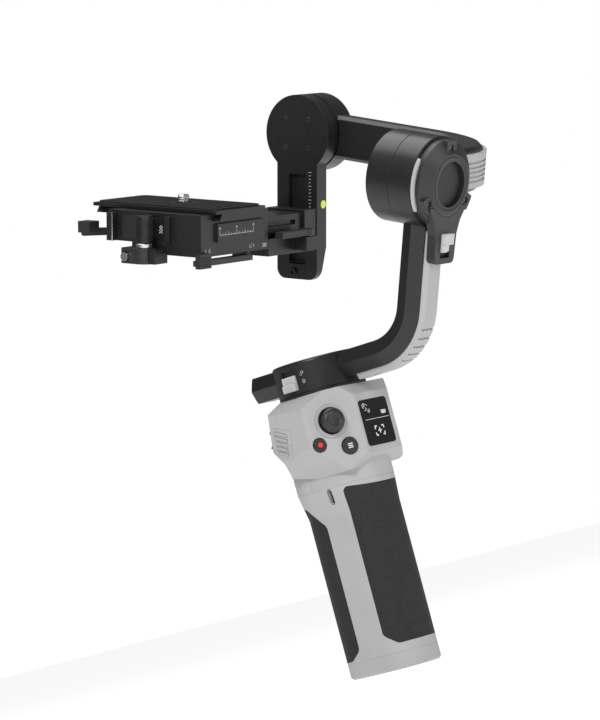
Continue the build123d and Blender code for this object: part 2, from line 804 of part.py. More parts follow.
# ---------------------------------------------------------------- roll motor, fixed side
cap_radius = roll_diameter / 2 - 1.5
recess_radius = 12.3
with BuildPart() as roll_motor_housing:
    add(roll_motor_core.part)
    with BuildSketch(roll_face(roll_front)):
        Circle(roll_diameter / 2 - motor_wall)
    extrude(amount=roll_front + roll_rear - 2, mode=Mode.SUBTRACT)
    with BuildSketch(roll_face(rotor_reach - 5)):
        Circle(hub_diameter / 2)
    extrude(amount=rotor_reach - 5 + roll_rear)
    with BuildSketch(roll_face(rotor_reach - 5)):
        Circle(bearing_diameter / 2)
    extrude(amount=rotor_reach - 5 + roll_rear, mode=Mode.SUBTRACT)

with BuildPart() as roll_bearings:
    with BuildSketch(roll_face(rotor_reach - 6), roll_face(-roll_rear + 5)):
        Circle(bearing_diameter / 2)
        Circle(shaft_diameter / 2 + running_fit, mode=Mode.SUBTRACT)
    extrude(amount=bearing_width)

with BuildPart() as roll_stator:
    with BuildSketch(roll_face(rotor_reach - 6)):
        Circle(stator_diameter / 2)
        Circle(hub_diameter / 2, mode=Mode.SUBTRACT)
        with PolarLocations(stator_diameter / 2 - 4, 12):
            Rectangle(6, 2.6, mode=Mode.SUBTRACT)
    extrude(amount=8.5)

lug_radius = 19.5
cap_rear = roll_rear + roll_cap_depth
with BuildPart() as cap_body:
    with BuildSketch(roll_face(-roll_rear)):
        Circle(cap_radius)
    extrude(amount=4.8)
    with BuildSketch(roll_face(-roll_rear - 4.8)):
        Circle(cap_radius)
    extrude(amount=roll_cap_depth - 4.8, taper=58)
    with BuildSketch(roll_face(-roll_rear - 4.8)):
        Circle(recess_radius + 3.4)
    extrude(amount=roll_cap_depth - 4.8, taper=12)
    with BuildSketch(roll_face(-roll_rear - 4)):
        with PolarLocations(lug_radius, 3, start_angle=90):
            Rectangle(8.5, 8.5)
    extrude(amount=roll_cap_depth - 5.4)
    with BuildSketch(roll_face(-roll_rear)):
        Circle(roll_diameter)
        Circle(cap_radius, mode=Mode.SUBTRACT)
    extrude(amount=roll_cap_depth, mode=Mode.SUBTRACT)

with BuildPart() as roll_rear_cap:
    add(cap_body.part)
    with BuildSketch(roll_face(-cap_rear)):
        Circle(recess_radius)
    extrude(amount=-3, mode=Mode.SUBTRACT)
    with BuildSketch(roll_face(-roll_rear)):
        with PolarLocations(lug_radius, 3, start_angle=90):
            Circle(1.8)
    extrude(amount=roll_cap_depth, mode=Mode.SUBTRACT)

with BuildPart() as roll_cap_screws:
    with BuildSketch(roll_face(-roll_rear)):
        with PolarLocations(lug_radius, 3, start_angle=90):
            Circle(1.8)
    extrude(amount=roll_cap_depth - 2.6)
    with BuildSketch(roll_face(-roll_rear - roll_cap_depth + 2.6)):
        with PolarLocations(lug_radius, 3, start_angle=90):
            RegularPolygon(0.9, 6)
    extrude(amount=-1.2, mode=Mode.SUBTRACT)

accent_reach = roll_diameter / 2 * cos(radians(accent_half_turn))
with BuildPart() as roll_accent_ring:
    with BuildSketch(roll_face(-roll_rear)):
        Circle(roll_diameter / 2 - 0.2)
        Circle(cap_radius, mode=Mode.SUBTRACT)
        with Locations((roll_diameter / 2 - accent_reach, 0)):
            Rectangle(roll_diameter, 2 * roll_diameter, mode=Mode.SUBTRACT)
    extrude(amount=2.6)

bracket_rear = cap_rear - 0.6
bracket_front = -arm_middle + arm_thickness / 2 + cover_thickness
with BuildPart() as roll_lock_bracket:
    with BuildSketch(roll_face(-bracket_front)) as bracket_outline:
        with BuildLine():
            Polyline(
                (-17, -12), (17, -12), (11.8, -20), (9.6, -27), (8.8, bracket_bottom), (-8.8, bracket_bottom),
                (-9.6, -27), (-11.8, -20),
                close=True,
            )
        make_face()
        fillet(bracket_outline.vertices().group_by(Axis.Y)[0], 3)
    extrude(amount=bracket_rear - bracket_front)
    with BuildSketch(roll_face(-bracket_front)):
        Circle(recess_radius + 3.4)
    extrude(amount=bracket_rear, mode=Mode.SUBTRACT)
    add(cap_body.part, mode=Mode.SUBTRACT)
    with BuildSketch(roll_face(-bracket_rear)):
        with Locations((0, slot_top - (roll_switch_height + switch_travel) / 2)):
            Rectangle(roll_switch_width + 2 * part_gap, roll_switch_height + switch_travel + 2 * part_gap)
    extrude(amount=-2.6, mode=Mode.SUBTRACT)

with BuildPart() as roll_lock_switch:
    with BuildSketch(roll_face(-bracket_rear + 2.3)):
        with Locations((0, slot_top - roll_switch_height / 2)):
            Rectangle(roll_switch_width, roll_switch_height)
    extrude(amount=2.2)
    with BuildSketch(roll_face(-bracket_rear + 0.1)):
        with Locations((0, slot_top - 2.9)):
            Rectangle(roll_switch_width, 5.8)
        with Locations(((4.2 - roll_switch_width) / 2, slot_top - roll_switch_height / 2)):
            Rectangle(4.2, roll_switch_height)
    extrude(amount=1.6)
    with BuildSketch(roll_face(-bracket_rear - 1.5)):
        with Locations((0, slot_top - 2.9)):
            Rectangle(roll_switch_width, 5.8)
    extrude(amount=1.2)

# ---------------------------------------------------------------- roll motor, turning side
bell_rear = roll_front + part_gap
with BuildPart() as roll_rotor:
    with BuildSketch(roll_face(rotor_reach)):
        Circle(roll_diameter / 2)
    extrude(amount=rotor_reach - bell_rear)
    fillet(roll_rotor.faces().sort_by(Axis((0, roll_y, roll_z), (0, lean_cos, lean_sin)))[-1].edges(), 1.6)
    with BuildSketch(roll_face(rotor_reach - 3)):
        Circle(magnet_bore / 2)
    extrude(amount=rotor_reach - 3 - bell_rear, mode=Mode.SUBTRACT)
    with BuildSketch(roll_face(rotor_reach - 3)):
        Circle(shaft_diameter / 2)
    extrude(amount=rotor_reach - 3 + roll_rear - 1)

half_arm = roll_arm_height / 2
rotor_clear = roll_diameter / 2


def roll_arm_band(start_x, rear, front, inner, outer, stop, radius_out, radius_in):
    """Plan of an L-shaped band that follows the roll arm."""
    with BuildSketch(Plane.XY) as band:
        with BuildLine():
            Polyline(
                (start_x, rear), (outer, rear), (outer, stop), (inner, stop), (inner, front), (start_x, front),
                close=True,
            )
        make_face()
        fillet(band.vertices().filter_by_position(Axis.X, outer - 1, outer + 1).sort_by(Axis.Y)[0], radius_out)
        corner = [v for v in band.vertices() if abs(v.X - inner) < 0.1 and abs(v.Y - front) < 0.1]
        fillet(corner, radius_in)
    return band.sketch


with BuildPart() as tilt_motor_core:
    with BuildSketch(tilt_face(side_inner + 0.4)):
        Circle(tilt_diameter / 2)
    extrude(amount=tilt_outer - side_inner - 0.4)

with BuildPart() as roll_arm_shell:
    add(
        extrude(
            roll_level(-half_arm)
            * roll_arm_band(
                18, roll_arm_rear, roll_arm_front, side_inner, side_outer, tilt_reach, corner_outer, corner_inner
            ),
            amount=roll_arm_height,
        )
    )
    level_axis = Axis(on_roll(0, 0, 0), (0, -lean_sin, lean_cos))
    chamfer(roll_arm_shell.faces().sort_by(level_axis)[-1].edges(), 2)
    chamfer(roll_arm_shell.faces().sort_by(level_axis)[0].edges(), 2)
    with BuildSketch(roll_face(rotor_reach)):
        Circle(rotor_clear)
    extrude(amount=rotor_reach, mode=Mode.SUBTRACT)
    with BuildSketch(tilt_face(side_inner - 1)):
        Circle(tilt_diameter / 2)
    extrude(amount=tilt_outer, mode=Mode.SUBTRACT)

cover_plan = roll_arm_band(
    side_cover_start,
    roll_arm_rear - side_cover,
    roll_arm_rear,
    side_outer,
    side_outer + side_cover,
    side_cover_end,
    corner_outer + side_cover,
    corner_outer,
)
groove_plan = roll_arm_band(
    side_outer - corner_outer - 2,
    roll_arm_rear - side_cover,
    roll_arm_rear - side_cover + 0.7,
    side_outer + side_cover - 0.7,
    side_outer + side_cover,
    roll_arm_rear + corner_outer + 4,
    corner_outer + side_cover,
    corner_outer + side_cover - 0.7,
)
with BuildPart() as roll_arm_cover:
    add(extrude(roll_level(-side_cover_half) * cover_plan, amount=2 * side_cover_half))
    # five grip grooves that wrap the corner
    for step in range(5):
        add(
            extrude(roll_level(-6.2 + 2.6 * step) * groove_plan, amount=1.1),
            mode=Mode.SUBTRACT,
        )

# ---------------------------------------------------------------- tilt motor
drum_diameter = 24.0
stator_start = side_inner + 3
with BuildPart() as tilt_motor_housing:
    add(tilt_motor_core.part)
    chamfer(tilt_motor_housing.faces().sort_by(Axis.X)[-1].edges(), 1)
    with BuildSketch(tilt_face(side_inner)):
        Circle(tilt_diameter / 2 - motor_wall)
    extrude(amount=tilt_outer - side_inner - 3, mode=Mode.SUBTRACT)
    with BuildSketch(tilt_face(side_inner)):
        Circle(bearing_diameter / 2)
    extrude(amount=tilt_outer, mode=Mode.SUBTRACT)

tilt_stator = ring(tilt_face(stator_start), tilt_diameter - 2 * motor_wall, drum_diameter + 1, 7.5)
tilt_bearings = ring(
    tilt_face(tilt_outer - 3), bearing_diameter, shaft_diameter + 2 * running_fit, bearing_width
)

with BuildPart() as tilt_end_cap:
    with BuildSketch(tilt_face(tilt_outer)):
        Circle(tilt_diameter / 2 - 4)
    extrude(amount=1.6)
    chamfer(tilt_end_cap.faces().sort_by(Axis.X)[-1].edges(), 0.6)

plate_outer = plate_inner + plate_thickness
with BuildPart() as tilt_rotor:
    with BuildSketch(tilt_face(plate_outer)):
        Circle(tilt_diameter / 2 - 0.5)
    extrude(amount=side_inner + 0.1 - plate_outer)
    with BuildSketch(tilt_face(side_inner + 0.1)):
        Circle(drum_diameter / 2)
    extrude(amount=stator_start + 6.5 - side_inner)
    with BuildSketch(tilt_face(side_inner)):
        Circle(shaft_diameter / 2)
    extrude(amount=tilt_outer - side_inner - 0.4)

level_plane = stage_back(tilt_f - plate_half, plate_outer - 2.8, 243)
level_radius, level_depth = 2.4, 2.0
with BuildPart() as tilt_plate:
    with BuildSketch(stage_face(plate_inner)) as plate_outline:
        with Locations((tilt_f, (plate_bottom + tilt_u) / 2)):
            Rectangle(2 * plate_half, tilt_u - plate_bottom)
        fillet(plate_outline.vertices().group_by(Axis.Y)[0], 6)
        with Locations((tilt_f, tilt_u)):
            Circle(tilt_diameter / 2)
    extrude(amount=plate_thickness)
    # the outer face slopes in towards the bottom
    with BuildSketch(stage_back(tilt_f)):
        with BuildLine():
            Polyline(
                (plate_outer + 1, plate_bottom + 19),
                (plate_outer, plate_bottom + 19),
                (plate_inner + 3.5, plate_bottom),
                (plate_inner + 3.5, plate_bottom - 1),
                (plate_outer + 1, plate_bottom - 1),
                close=True,
            )
        make_face()
    extrude(amount=tilt_diameter, both=True, mode=Mode.SUBTRACT)
    # guide groove for the height carriage
    with BuildSketch(stage_face(plate_inner)):
        with Locations((tilt_f, (plate_bottom + 9 + base_top + 15) / 2)):
            Rectangle(12, base_top + 15 - plate_bottom - 9)
    extrude(amount=4, mode=Mode.SUBTRACT)
    # stop screw boss at the bottom of the inner face
    with BuildSketch(stage_face(plate_inner)):
        with Locations((tilt_f + 2.5, plate_bottom + 4)):
            Circle(2.4)
            RegularPolygon(1.1, 6, mode=Mode.SUBTRACT)
    extrude(amount=-1.4)
    # pocket for the bubble level
    with BuildSketch(level_plane):
        Circle(level_radius)
    extrude(amount=-level_depth, mode=Mode.SUBTRACT)

with BuildPart() as bubble_level:
    with BuildSketch(level_plane):
        Circle(level_radius)
    extrude(amount=-level_depth)

lock_plane = Plane(
    origin=on_roll(side_outer, tilt_reach - tilt_diameter / 2 - 15, 0), x_dir=(0, lean_sin, -lean_cos), z_dir=(1, 0, 0)
)
with BuildPart() as tilt_lock_switch:
    with BuildSketch(lock_plane.offset(-1.4)):
        Rectangle(6, 10)
    extrude(amount=2)
    with BuildSketch(lock_plane.offset(0.4)):
        with Locations((0, -2.5)):
            Rectangle(6, 5)
    extrude(amount=1.6)

with BuildPart() as switch_pocket:
    with BuildSketch(lock_plane.offset(-1.7)):
        with Locations((0, switch_travel / 2)):
            Rectangle(6 + 2 * part_gap, 10 + switch_travel + 2 * part_gap)
    extrude(amount=4)
roll_arm_shell.part = roll_arm_shell.part - switch_pocket.part

# ---------------------------------------------------------------- camera stage
with BuildPart(stage) as height_carriage:
    stage_block(carriage_left, plate_inner - part_gap, tilt_f - 14, tilt_f + 14, carriage_bottom, carriage_top)
    stage_block(
        plate_inner - part_gap, plate_inner + 3.6, tilt_f - 5.7, tilt_f + 5.7, carriage_bottom + 2, carriage_top - 2
    )
    stage_block(34, carriage_left, tilt_f - 14, tilt_f + 9, carriage_bottom, carriage_bottom + 10)
    stage_block(57, 67, 106, tilt_f - 14, carriage_bottom + 2, carriage_bottom + 9.9)

with BuildPart(stage) as cross_rail:
    stage_block(rail_left, carriage_left, rail_rear, rail_front, rail_bottom, rail_top)
    stage_block(rail_left + 6, carriage_left - 6, rail_rear - 1, rail_rear + 2, 233.4, 236, mode=Mode.SUBTRACT)

hub_r, hub_f, hub_radius = base_left - 7, 148.0, 6.3   # plate lock lever
pin_f = hub_f + 8.2
with BuildPart(stage) as plate_base:
    stage_block(base_left, base_right, base_rear, base_front, base_bottom, base_top)
    stage_block(base_left, base_right, 163, base_front, base_bottom, 228, mode=Mode.SUBTRACT)
    # tunnel for the cross rail
    stage_block(
        base_left + 4, base_right, rail_rear - part_gap, rail_front + part_gap,
        rail_bottom - part_gap, rail_top + part_gap, mode=Mode.SUBTRACT,
    )
    # scale plate on the rear face, ribs and lever boss on the left face
    stage_block(-17.3, 24.5, base_rear - 1.8, base_rear, 229.6, 240)
    stage_block(base_left - 5, base_left, 173, 177.5, 228.3, 244)
    stage_block(base_left - 3, base_left, 133.6, 137, 230, 244)
    stage_block(base_left - 11, base_left, 137.2, hub_f - hub_radius - 0.5, 217.6, 226)
    stage_block(base_left - 7, base_left, 145.5, 150.5, 231, 242)
    with Locations((base_left - 7, 148, 236.5)):
        Cylinder(4.4, 15)
    # dovetail channel for the camera plate
    with BuildSketch(stage_back(0)):
        with BuildLine():
            Polyline(
                (-dovetail_bottom_half - part_gap, channel_bottom),
                (dovetail_bottom_half + part_gap, channel_bottom),
                (dovetail_top_half + part_gap, base_top),
                (dovetail_top_half + part_gap, base_top + 1),
                (-dovetail_top_half - part_gap, base_top + 1),
                (-dovetail_top_half - part_gap, base_top),
                close=True,
            )
        make_face()
    extrude(amount=-2 * base_front, mode=Mode.SUBTRACT)

screw_head_bottom = channel_bottom + part_gap
flange_bottom = base_top + part_gap
plate_top = flange_bottom + flange_thickness
with BuildPart() as camera_plate:
    with BuildSketch(stage_back(camera_plate_front)):
        with BuildLine():
            Polyline(
                (-dovetail_bottom_half, channel_bottom + part_gap),
                (dovetail_bottom_half, channel_bottom + part_gap),
                (dovetail_top_half, flange_bottom),
                (camera_plate_half, flange_bottom),
                (camera_plate_half, plate_top),
                (-camera_plate_half, plate_top),
                (-camera_plate_half, flange_bottom),
                (-dovetail_top_half, flange_bottom),
                close=True,
            )
        make_face()
    extrude(amount=camera_plate_front - camera_plate_rear)
    with BuildSketch(stage.offset(channel_bottom)):
        with Locations((0, camera_screw_place)):
            Circle(8)
    extrude(amount=4.2, mode=Mode.SUBTRACT)
    with BuildSketch(stage.offset(channel_bottom)):
        with Locations((0, camera_screw_place)):
            Circle(camera_screw_diameter / 2 + part_gap)
    extrude(amount=10, mode=Mode.SUBTRACT)

with BuildPart() as plate_rubber:
    with BuildSketch(stage.offset(plate_top)):
        with Locations((0, (camera_plate_rear + camera_plate_front) / 2)):
            RectangleRounded(2 * camera_plate_half - 3, camera_plate_front - camera_plate_rear - 4, 3)
        with Locations((0, camera_screw_place)):
            Circle(camera_screw_diameter / 2 + 2, mode=Mode.SUBTRACT)
    extrude(amount=rubber_thickness)

with BuildPart() as camera_screw:
    with BuildSketch(stage.offset(screw_head_bottom)):
        with Locations((0, camera_screw_place)):
            Circle(7.6)
            Rectangle(10, 1.4, mode=Mode.SUBTRACT)
    extrude(amount=1.4)
    with BuildSketch(stage.offset(screw_head_bottom + 1.4)):
        with Locations((0, camera_screw_place)):
            Circle(7.6)
    extrude(amount=2.1)
    with BuildSketch(stage.offset(screw_head_bottom + 3)):
        with Locations((0, camera_screw_place)):
            Circle(camera_screw_diameter / 2 - thread_relief)
    extrude(amount=plate_top + rubber_thickness - screw_head_bottom - 3)
    with BuildSketch(stage.offset(plate_top + rubber_thickness)):
        with Locations((0, camera_screw_place)):
            Circle(camera_screw_diameter / 2)
    extrude(amount=4.5)
    chamfer(camera_screw.faces().sort_by(Axis((0, 0, 0), (0, -pitch_sin, pitch_cos)))[-1].edges(), 0.6)

with BuildPart(stage) as plate_lock_lever:
    with Locations((hub_r, hub_f, 227.3)):
        Cylinder(3, 3)
    with Locations((hub_r, hub_f, 221.7)):
        Cylinder(hub_radius, 8.8)
    stage_block(hub_r - hub_radius, hub_r + 6, hub_f, pin_f + 3.4, 217.3, 226.1)
    with Locations((hub_r - 4, pin_f, 221.2)):
        Cylinder(2.4 + part_gap, 5, rotation=(0, 90, 0), mode=Mode.SUBTRACT)

with BuildPart(stage) as lever_pin:
    with Locations((hub_r - 5.6, pin_f, 221.2)):
        Cylinder(2.4, 5.4, rotation=(0, 90, 0))

with BuildPart(stage) as front_latch:
    with Locations((-16, 185, 231.5)):
        Cylinder(4, 5)
    with Locations((-24, 191, 231.5)):
        Box(22, 5, 4, rotation=(0, 0, -32))
    stage_block(-36.5, -28, 189, 197.5, 231.5, 238)

with BuildPart(stage) as latch_post:
    stage_block(-20, -12, base_front, 189, 234.4, 240)

with BuildPart(stage) as cross_lock_lever:
    with Locations((13, 119, 219.2)):
        Cylinder(5, 4.9)
    stage_block(-34, 13, 110.5, 115.5, 217.4, 220.6)
    stage_block(-35.5, -25.5, 109.2, 112.6, 216.3, 224.5)

with BuildPart(stage) as height_lock_lever:
    with Locations((62, 110, 229.2)):
        Cylinder(4, 4)
    stage_block(36, 62, 107, 112.6, 227.4, 231)

plate_base.part = plate_base.part + latch_post.part

# ---------------------------------------------------------------- export
pieces = {
    "handle_shell": handle_shell,
    "base_cap": base_cap,
    "tripod_insert": tripod_insert,
    "front_grip_pad": front_grip_pad,
    "rear_grip_pad": rear_grip_pad,
    "battery_carrier": battery_carrier,
    "battery_cells": battery_cells,
    "head_rear_shell": head_rear_shell,
    "head_front_shell": head_front_shell,
    "display_glass": display_glass,
    "joystick_bezel": joystick_bezel,
    "joystick_gimbal": joystick_gimbal,
    "joystick_cap": joystick_cap,
    "record_button": record_button,
    "mode_button": mode_button,
    "power_button": power_button,
    "trigger": trigger,
    "trigger_pin": trigger_pin,
    "control_wheel": control_wheel,
    "wheel_axle": wheel_axle,
    "charging_port": charging_port,
    "main_board": main_board,
    "pan_motor_base": pan_motor_base,
    "pan_bearings": pan_bearings,
    "pan_stator": pan_stator,
    "pan_housing": pan_housing,
    "pan_shaft": pan_shaft,
    "pan_lock_switch": pan_lock_switch,
    "pan_arm_shell": pan_arm_shell,
    "pan_arm_cover": pan_arm_cover,
    "roll_motor_housing": roll_motor_housing,
    "roll_bearings": roll_bearings,
    "roll_stator": roll_stator,
    "roll_rear_cap": roll_rear_cap,
    "roll_cap_screws": roll_cap_screws,
    "roll_accent_ring": roll_accent_ring,
    "roll_lock_bracket": roll_lock_bracket,
    "roll_lock_switch": roll_lock_switch,
    "roll_rotor": roll_rotor,
    "roll_arm_shell": roll_arm_shell,
    "roll_arm_cover": roll_arm_cover,
    "tilt_motor_housing": tilt_motor_housing,
    "tilt_stator": tilt_stator,
    "tilt_bearings": tilt_bearings,
    "tilt_end_cap": tilt_end_cap,
    "tilt_lock_switch": tilt_lock_switch,
    "tilt_rotor": tilt_rotor,
    "tilt_plate": tilt_plate,
    "bubble_level": bubble_level,
    "height_carriage": height_carriage,
    "height_lock_lever": height_lock_lever,
    "cross_rail": cross_rail,
    "plate_base": plate_base,
    "cross_lock_lever": cross_lock_lever,
    "plate_lock_lever": plate_lock_lever,
    "lever_pin": lever_pin,
    "front_latch": front_latch,
    "camera_plate": camera_plate,
    "plate_rubber": plate_rubber,
    "camera_screw": camera_screw,
}

os.makedirs("parts", exist_ok=True)
for label, piece in pieces.items():
    piece.part.label = label
    export_step(piece.part, f"parts/{label}.step")
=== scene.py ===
"""A handheld three-axis camera gimbal: finishes and fine parts around its fixed frame."""

import json
from math import cos, pi, radians, sin

import bmesh
import bpy
from mathutils import Matrix, Vector


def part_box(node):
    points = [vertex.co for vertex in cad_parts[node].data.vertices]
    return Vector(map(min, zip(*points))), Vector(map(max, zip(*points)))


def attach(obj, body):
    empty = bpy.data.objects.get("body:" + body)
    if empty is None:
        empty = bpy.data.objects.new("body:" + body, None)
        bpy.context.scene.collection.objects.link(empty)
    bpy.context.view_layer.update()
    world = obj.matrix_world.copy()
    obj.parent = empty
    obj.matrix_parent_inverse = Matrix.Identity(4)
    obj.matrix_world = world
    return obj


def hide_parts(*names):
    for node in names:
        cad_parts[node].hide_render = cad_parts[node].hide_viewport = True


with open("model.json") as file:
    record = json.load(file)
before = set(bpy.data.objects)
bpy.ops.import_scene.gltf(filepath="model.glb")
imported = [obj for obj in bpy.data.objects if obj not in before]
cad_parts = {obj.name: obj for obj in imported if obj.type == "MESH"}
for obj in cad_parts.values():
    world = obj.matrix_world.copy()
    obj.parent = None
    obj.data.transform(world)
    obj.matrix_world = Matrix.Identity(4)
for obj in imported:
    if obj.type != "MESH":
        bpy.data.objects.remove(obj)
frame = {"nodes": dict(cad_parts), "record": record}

bl_info = {
    "name": "Camera Gimbal",
    "version": (1, 0, 0),
    "blender": (4, 5, 0),
    "location": "3D View > Sidebar > Gimbal",
    "description": "Builds the finishes and fine parts of a handheld camera gimbal",
    "category": "Add Mesh",
}

MM = 0.001
NODES = frame["nodes"]
RECORD = frame["record"]
SLOT_OF = {part["node"]: part["material_slot"] for part in RECORD["subparts"]}
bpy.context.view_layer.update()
SHARP = radians(32)
LIFT = 0.06            # how far a printed mark stands off its face, in millimetres
THREAD_PITCH = 1.27    # quarter-inch tripod thread, in millimetres

# ---------------------------------------------------------------- sizes shared with the frame, in millimetres
ROLL_LEAN = radians(24.0)
ROLL_POINT = Vector((0.0, -103.7, 250.2))
STAGE_PITCH = radians(18.8)
STICK_TURN = radians(30.0)
HEAD_REAR = 28.5
PANEL_EDGE = -11.5
STICK_ALONG = 16.8
STICK_Z = 139.7
RECORD_AT = (-9.8, -11.4)
MODE_AT = (7.2, -15.5)
SWITCH_TURN = radians(4.4)
ROLL_AHEAD = Vector((0, cos(ROLL_LEAN), sin(ROLL_LEAN)))
FORWARD = Vector((0, cos(STAGE_PITCH), sin(STAGE_PITCH)))
UP = Vector((0, -sin(STAGE_PITCH), cos(STAGE_PITCH)))
RIGHT = Vector((1, 0, 0))
TILT_REACH = 148.0       # the tilt axis, ahead of the roll point
TILT_POINT = ROLL_POINT + TILT_REACH * ROLL_AHEAD
PAN_RADIUS = 24.5
PAN_SEAM_Z = 168.3
PAN_TOP_Z = 176.5
SWITCH_BOTTOM_Z = 160.9
TILT_OUTER_X = 104.5
TILT_INNER_X = 79.0
BASE_REAR = 113.0        # the stage's base block, back face
BASE_LEFT = -30.0        # and left face
LEVER_REAR = 109.2       # the cross slide's lever, back face of its grip
HUB_R, HUB_F = -37.0, 148.0      # axis of the plate's lock lever
SCREW_F = 150.0          # the camera screw, ahead of the pan axis
MAT_TOP = 248.7


def frame_at(origin, across, outward):
    """Local millimetres on a face, with x across it and z out of it, to metres in the row frame."""
    z = Vector(outward).normalized()
    x = Vector(across)
    x = (x - x.dot(z) * z).normalized()
    turn = Matrix((x, z.cross(x), z)).transposed().to_4x4()
    return Matrix.Translation(Vector(origin) * MM) @ turn @ Matrix.Scale(MM, 4)


def stage_point(r, f, u):
    """A point on the camera stage: right, forward and up."""
    return r * RIGHT + f * FORWARD + u * UP


def stage_rear(f):
    """The face that looks back from the stage, x to the right."""
    return frame_at(stage_point(0, f, 0), RIGHT, -FORWARD)


def stage_left(r):
    """The face that looks left from the stage, x to the rear."""
    return frame_at(stage_point(r, 0, 0), -FORWARD, -RIGHT)


def stage_top(u):
    """A level of the stage, x to the right and y forward."""
    return frame_at(stage_point(0, 0, u), RIGHT, UP)


def roll_rear(ahead):
    """A disc across the roll axis, seen from behind."""
    return frame_at(ROLL_POINT + ahead * ROLL_AHEAD, RIGHT, -ROLL_AHEAD)


def tilt_side(x):
    """A disc across the tilt axis, seen from the right."""
    return frame_at((x, TILT_POINT.y, TILT_POINT.z), FORWARD, RIGHT)


SCREEN = frame_at((3.0, -HEAD_REAR - 0.2, 134.0), RIGHT, (0, -1, 0))
STICK = frame_at(
    (PANEL_EDGE - STICK_ALONG * cos(STICK_TURN), -HEAD_REAR + STICK_ALONG * sin(STICK_TURN), STICK_Z),
    (cos(STICK_TURN), -sin(STICK_TURN), 0),
    (-sin(STICK_TURN), -cos(STICK_TURN), 0),
)
ROW = Matrix.Scale(MM, 4)


# ---------------------------------------------------------------- shapes
def bevel(bm, edges, amount, segments=2):
    """Rounds some edges."""
    bmesh.ops.bevel(
        bm, geom=edges, offset=amount, offset_type="OFFSET", affect="EDGES", segments=segments,
        profile=0.5, material=-1, clamp_overlap=True,
    )


def slab(width, height, thick, corner=0.0, edge=0.0):
    """A block on its face, with rounded corners and a softened top edge."""
    bm = bmesh.new()
    bmesh.ops.create_cube(bm, size=1.0)
    bmesh.ops.scale(bm, vec=(width, height, thick), verts=bm.verts)
    bmesh.ops.translate(bm, vec=(0, 0, thick / 2), verts=bm.verts)
    if corner:
        upright = [e for e in bm.edges if abs(e.verts[0].co.z - e.verts[1].co.z) > thick / 2]
        bevel(bm, upright, corner, 5)
    if edge:
        soften_top(bm, thick, edge)
    return bm


def soften_top(bm, top, amount):
    """Rounds the rim of the top face."""
    bm.normal_update()
    rim = [
        e for e in bm.edges
        if all(v.co.z > top - 1e-4 for v in e.verts) and any(abs(f.normal.z) < 0.7 for f in e.link_faces)
    ]
    bevel(bm, rim, amount)


def plate(points, thick, edge=0.0):
    """A flat plate with any outline."""
    bm = bmesh.new()
    face = bm.faces.new([bm.verts.new((x, y, 0)) for x, y in points])
    grown = bmesh.ops.extrude_face_region(bm, geom=[face])
    raised = [v for v in grown["geom"] if isinstance(v, bmesh.types.BMVert)]
    bmesh.ops.translate(bm, vec=(0, 0, thick), verts=raised)
    bmesh.ops.recalc_face_normals(bm, faces=bm.faces)
    if edge:
        soften_top(bm, thick, edge)
    return bm


def lathe(profile, steps=72, closed=False):
    """A turned shape from its half section, as (radius, height) points."""
    bm = bmesh.new()
    verts = [bm.verts.new((r, 0, z)) for r, z in profile]
    edges = [bm.edges.new(pair) for pair in zip(verts, verts[1:])]
    if closed:
        edges.append(bm.edges.new((verts[-1], verts[0])))
    bmesh.ops.spin(
        bm, geom=verts + edges, cent=(0, 0, 0), axis=(0, 0, 1), angle=2 * pi, steps=steps, use_merge=True
    )
    bmesh.ops.remove_doubles(bm, verts=bm.verts, dist=1e-4)
    bmesh.ops.recalc_face_normals(bm, faces=bm.faces)
    return bm


def ring(outer, inner, thick, edge=0.0, steps=72):
    """A flat ring, with its outer and inner rims softened."""
    section = [(inner, 0), (outer, 0), (outer, thick - edge), (outer - edge, thick), (inner + edge, thick),
               (inner, thick - edge)]
    if not edge:
        section = [(inner, 0), (outer, 0), (outer, thick), (inner, thick)]
    return lathe(section, steps, closed=True)


def disc(radius, thick, edge=0.0, steps=56):
    """A round plate."""
    return lathe([(0, 0), (radius, 0), (radius, thick - edge), (radius - edge, thick), (0, thick)], steps)


def arc(outer, inner, thick, start, stop, steps=24):
    """Part of a flat ring, from one angle to another, in degrees."""
    bm = bmesh.new()
    corners = [bm.verts.new(p) for p in ((inner, 0, 0), (outer, 0, 0), (outer, 0, thick), (inner, 0, thick))]
    face = bm.faces.new(corners)
    bmesh.ops.rotate(bm, cent=(0, 0, 0), matrix=Matrix.Rotation(radians(start), 3, "Z"), verts=bm.verts)
    bmesh.ops.spin(
        bm, geom=[face] + corners + list(face.edges), cent=(0, 0, 0), axis=(0, 0, 1),
        angle=radians(stop - start), steps=steps,
    )
    bmesh.ops.remove_doubles(bm, verts=bm.verts, dist=1e-5)
    bmesh.ops.recalc_face_normals(bm, faces=bm.faces)
    return bm


def put(whole, shape, x=0.0, y=0.0, z=0.0, turn=0.0):
    """Adds a shape to a piece, at its place on the face."""
    shape.transform(Matrix.Translation((x, y, z)) @ Matrix.Rotation(radians(turn), 4, "Z"))
    spare = bpy.data.meshes.new("spare")
    shape.to_mesh(spare)
    shape.free()
    whole.from_mesh(spare)
    bpy.data.meshes.remove(spare)


def finish_piece(name, whole, place, body, material, replaced=()):
    """Turns a piece into an object in the row frame and sets it on its body."""
    whole.transform(place)
    bmesh.ops.recalc_face_normals(whole, faces=whole.faces)
    mesh = bpy.data.meshes.new(name)
    whole.to_mesh(mesh)
    whole.free()
    mesh.shade_smooth()
    mesh.set_sharp_from_angle(angle=SHARP)
    mesh.materials.append(material)
    obj = bpy.data.objects.new(name, mesh)
    bpy.context.scene.collection.objects.link(obj)
    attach(obj, body)
    if replaced:
        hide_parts(*replaced)
    return obj


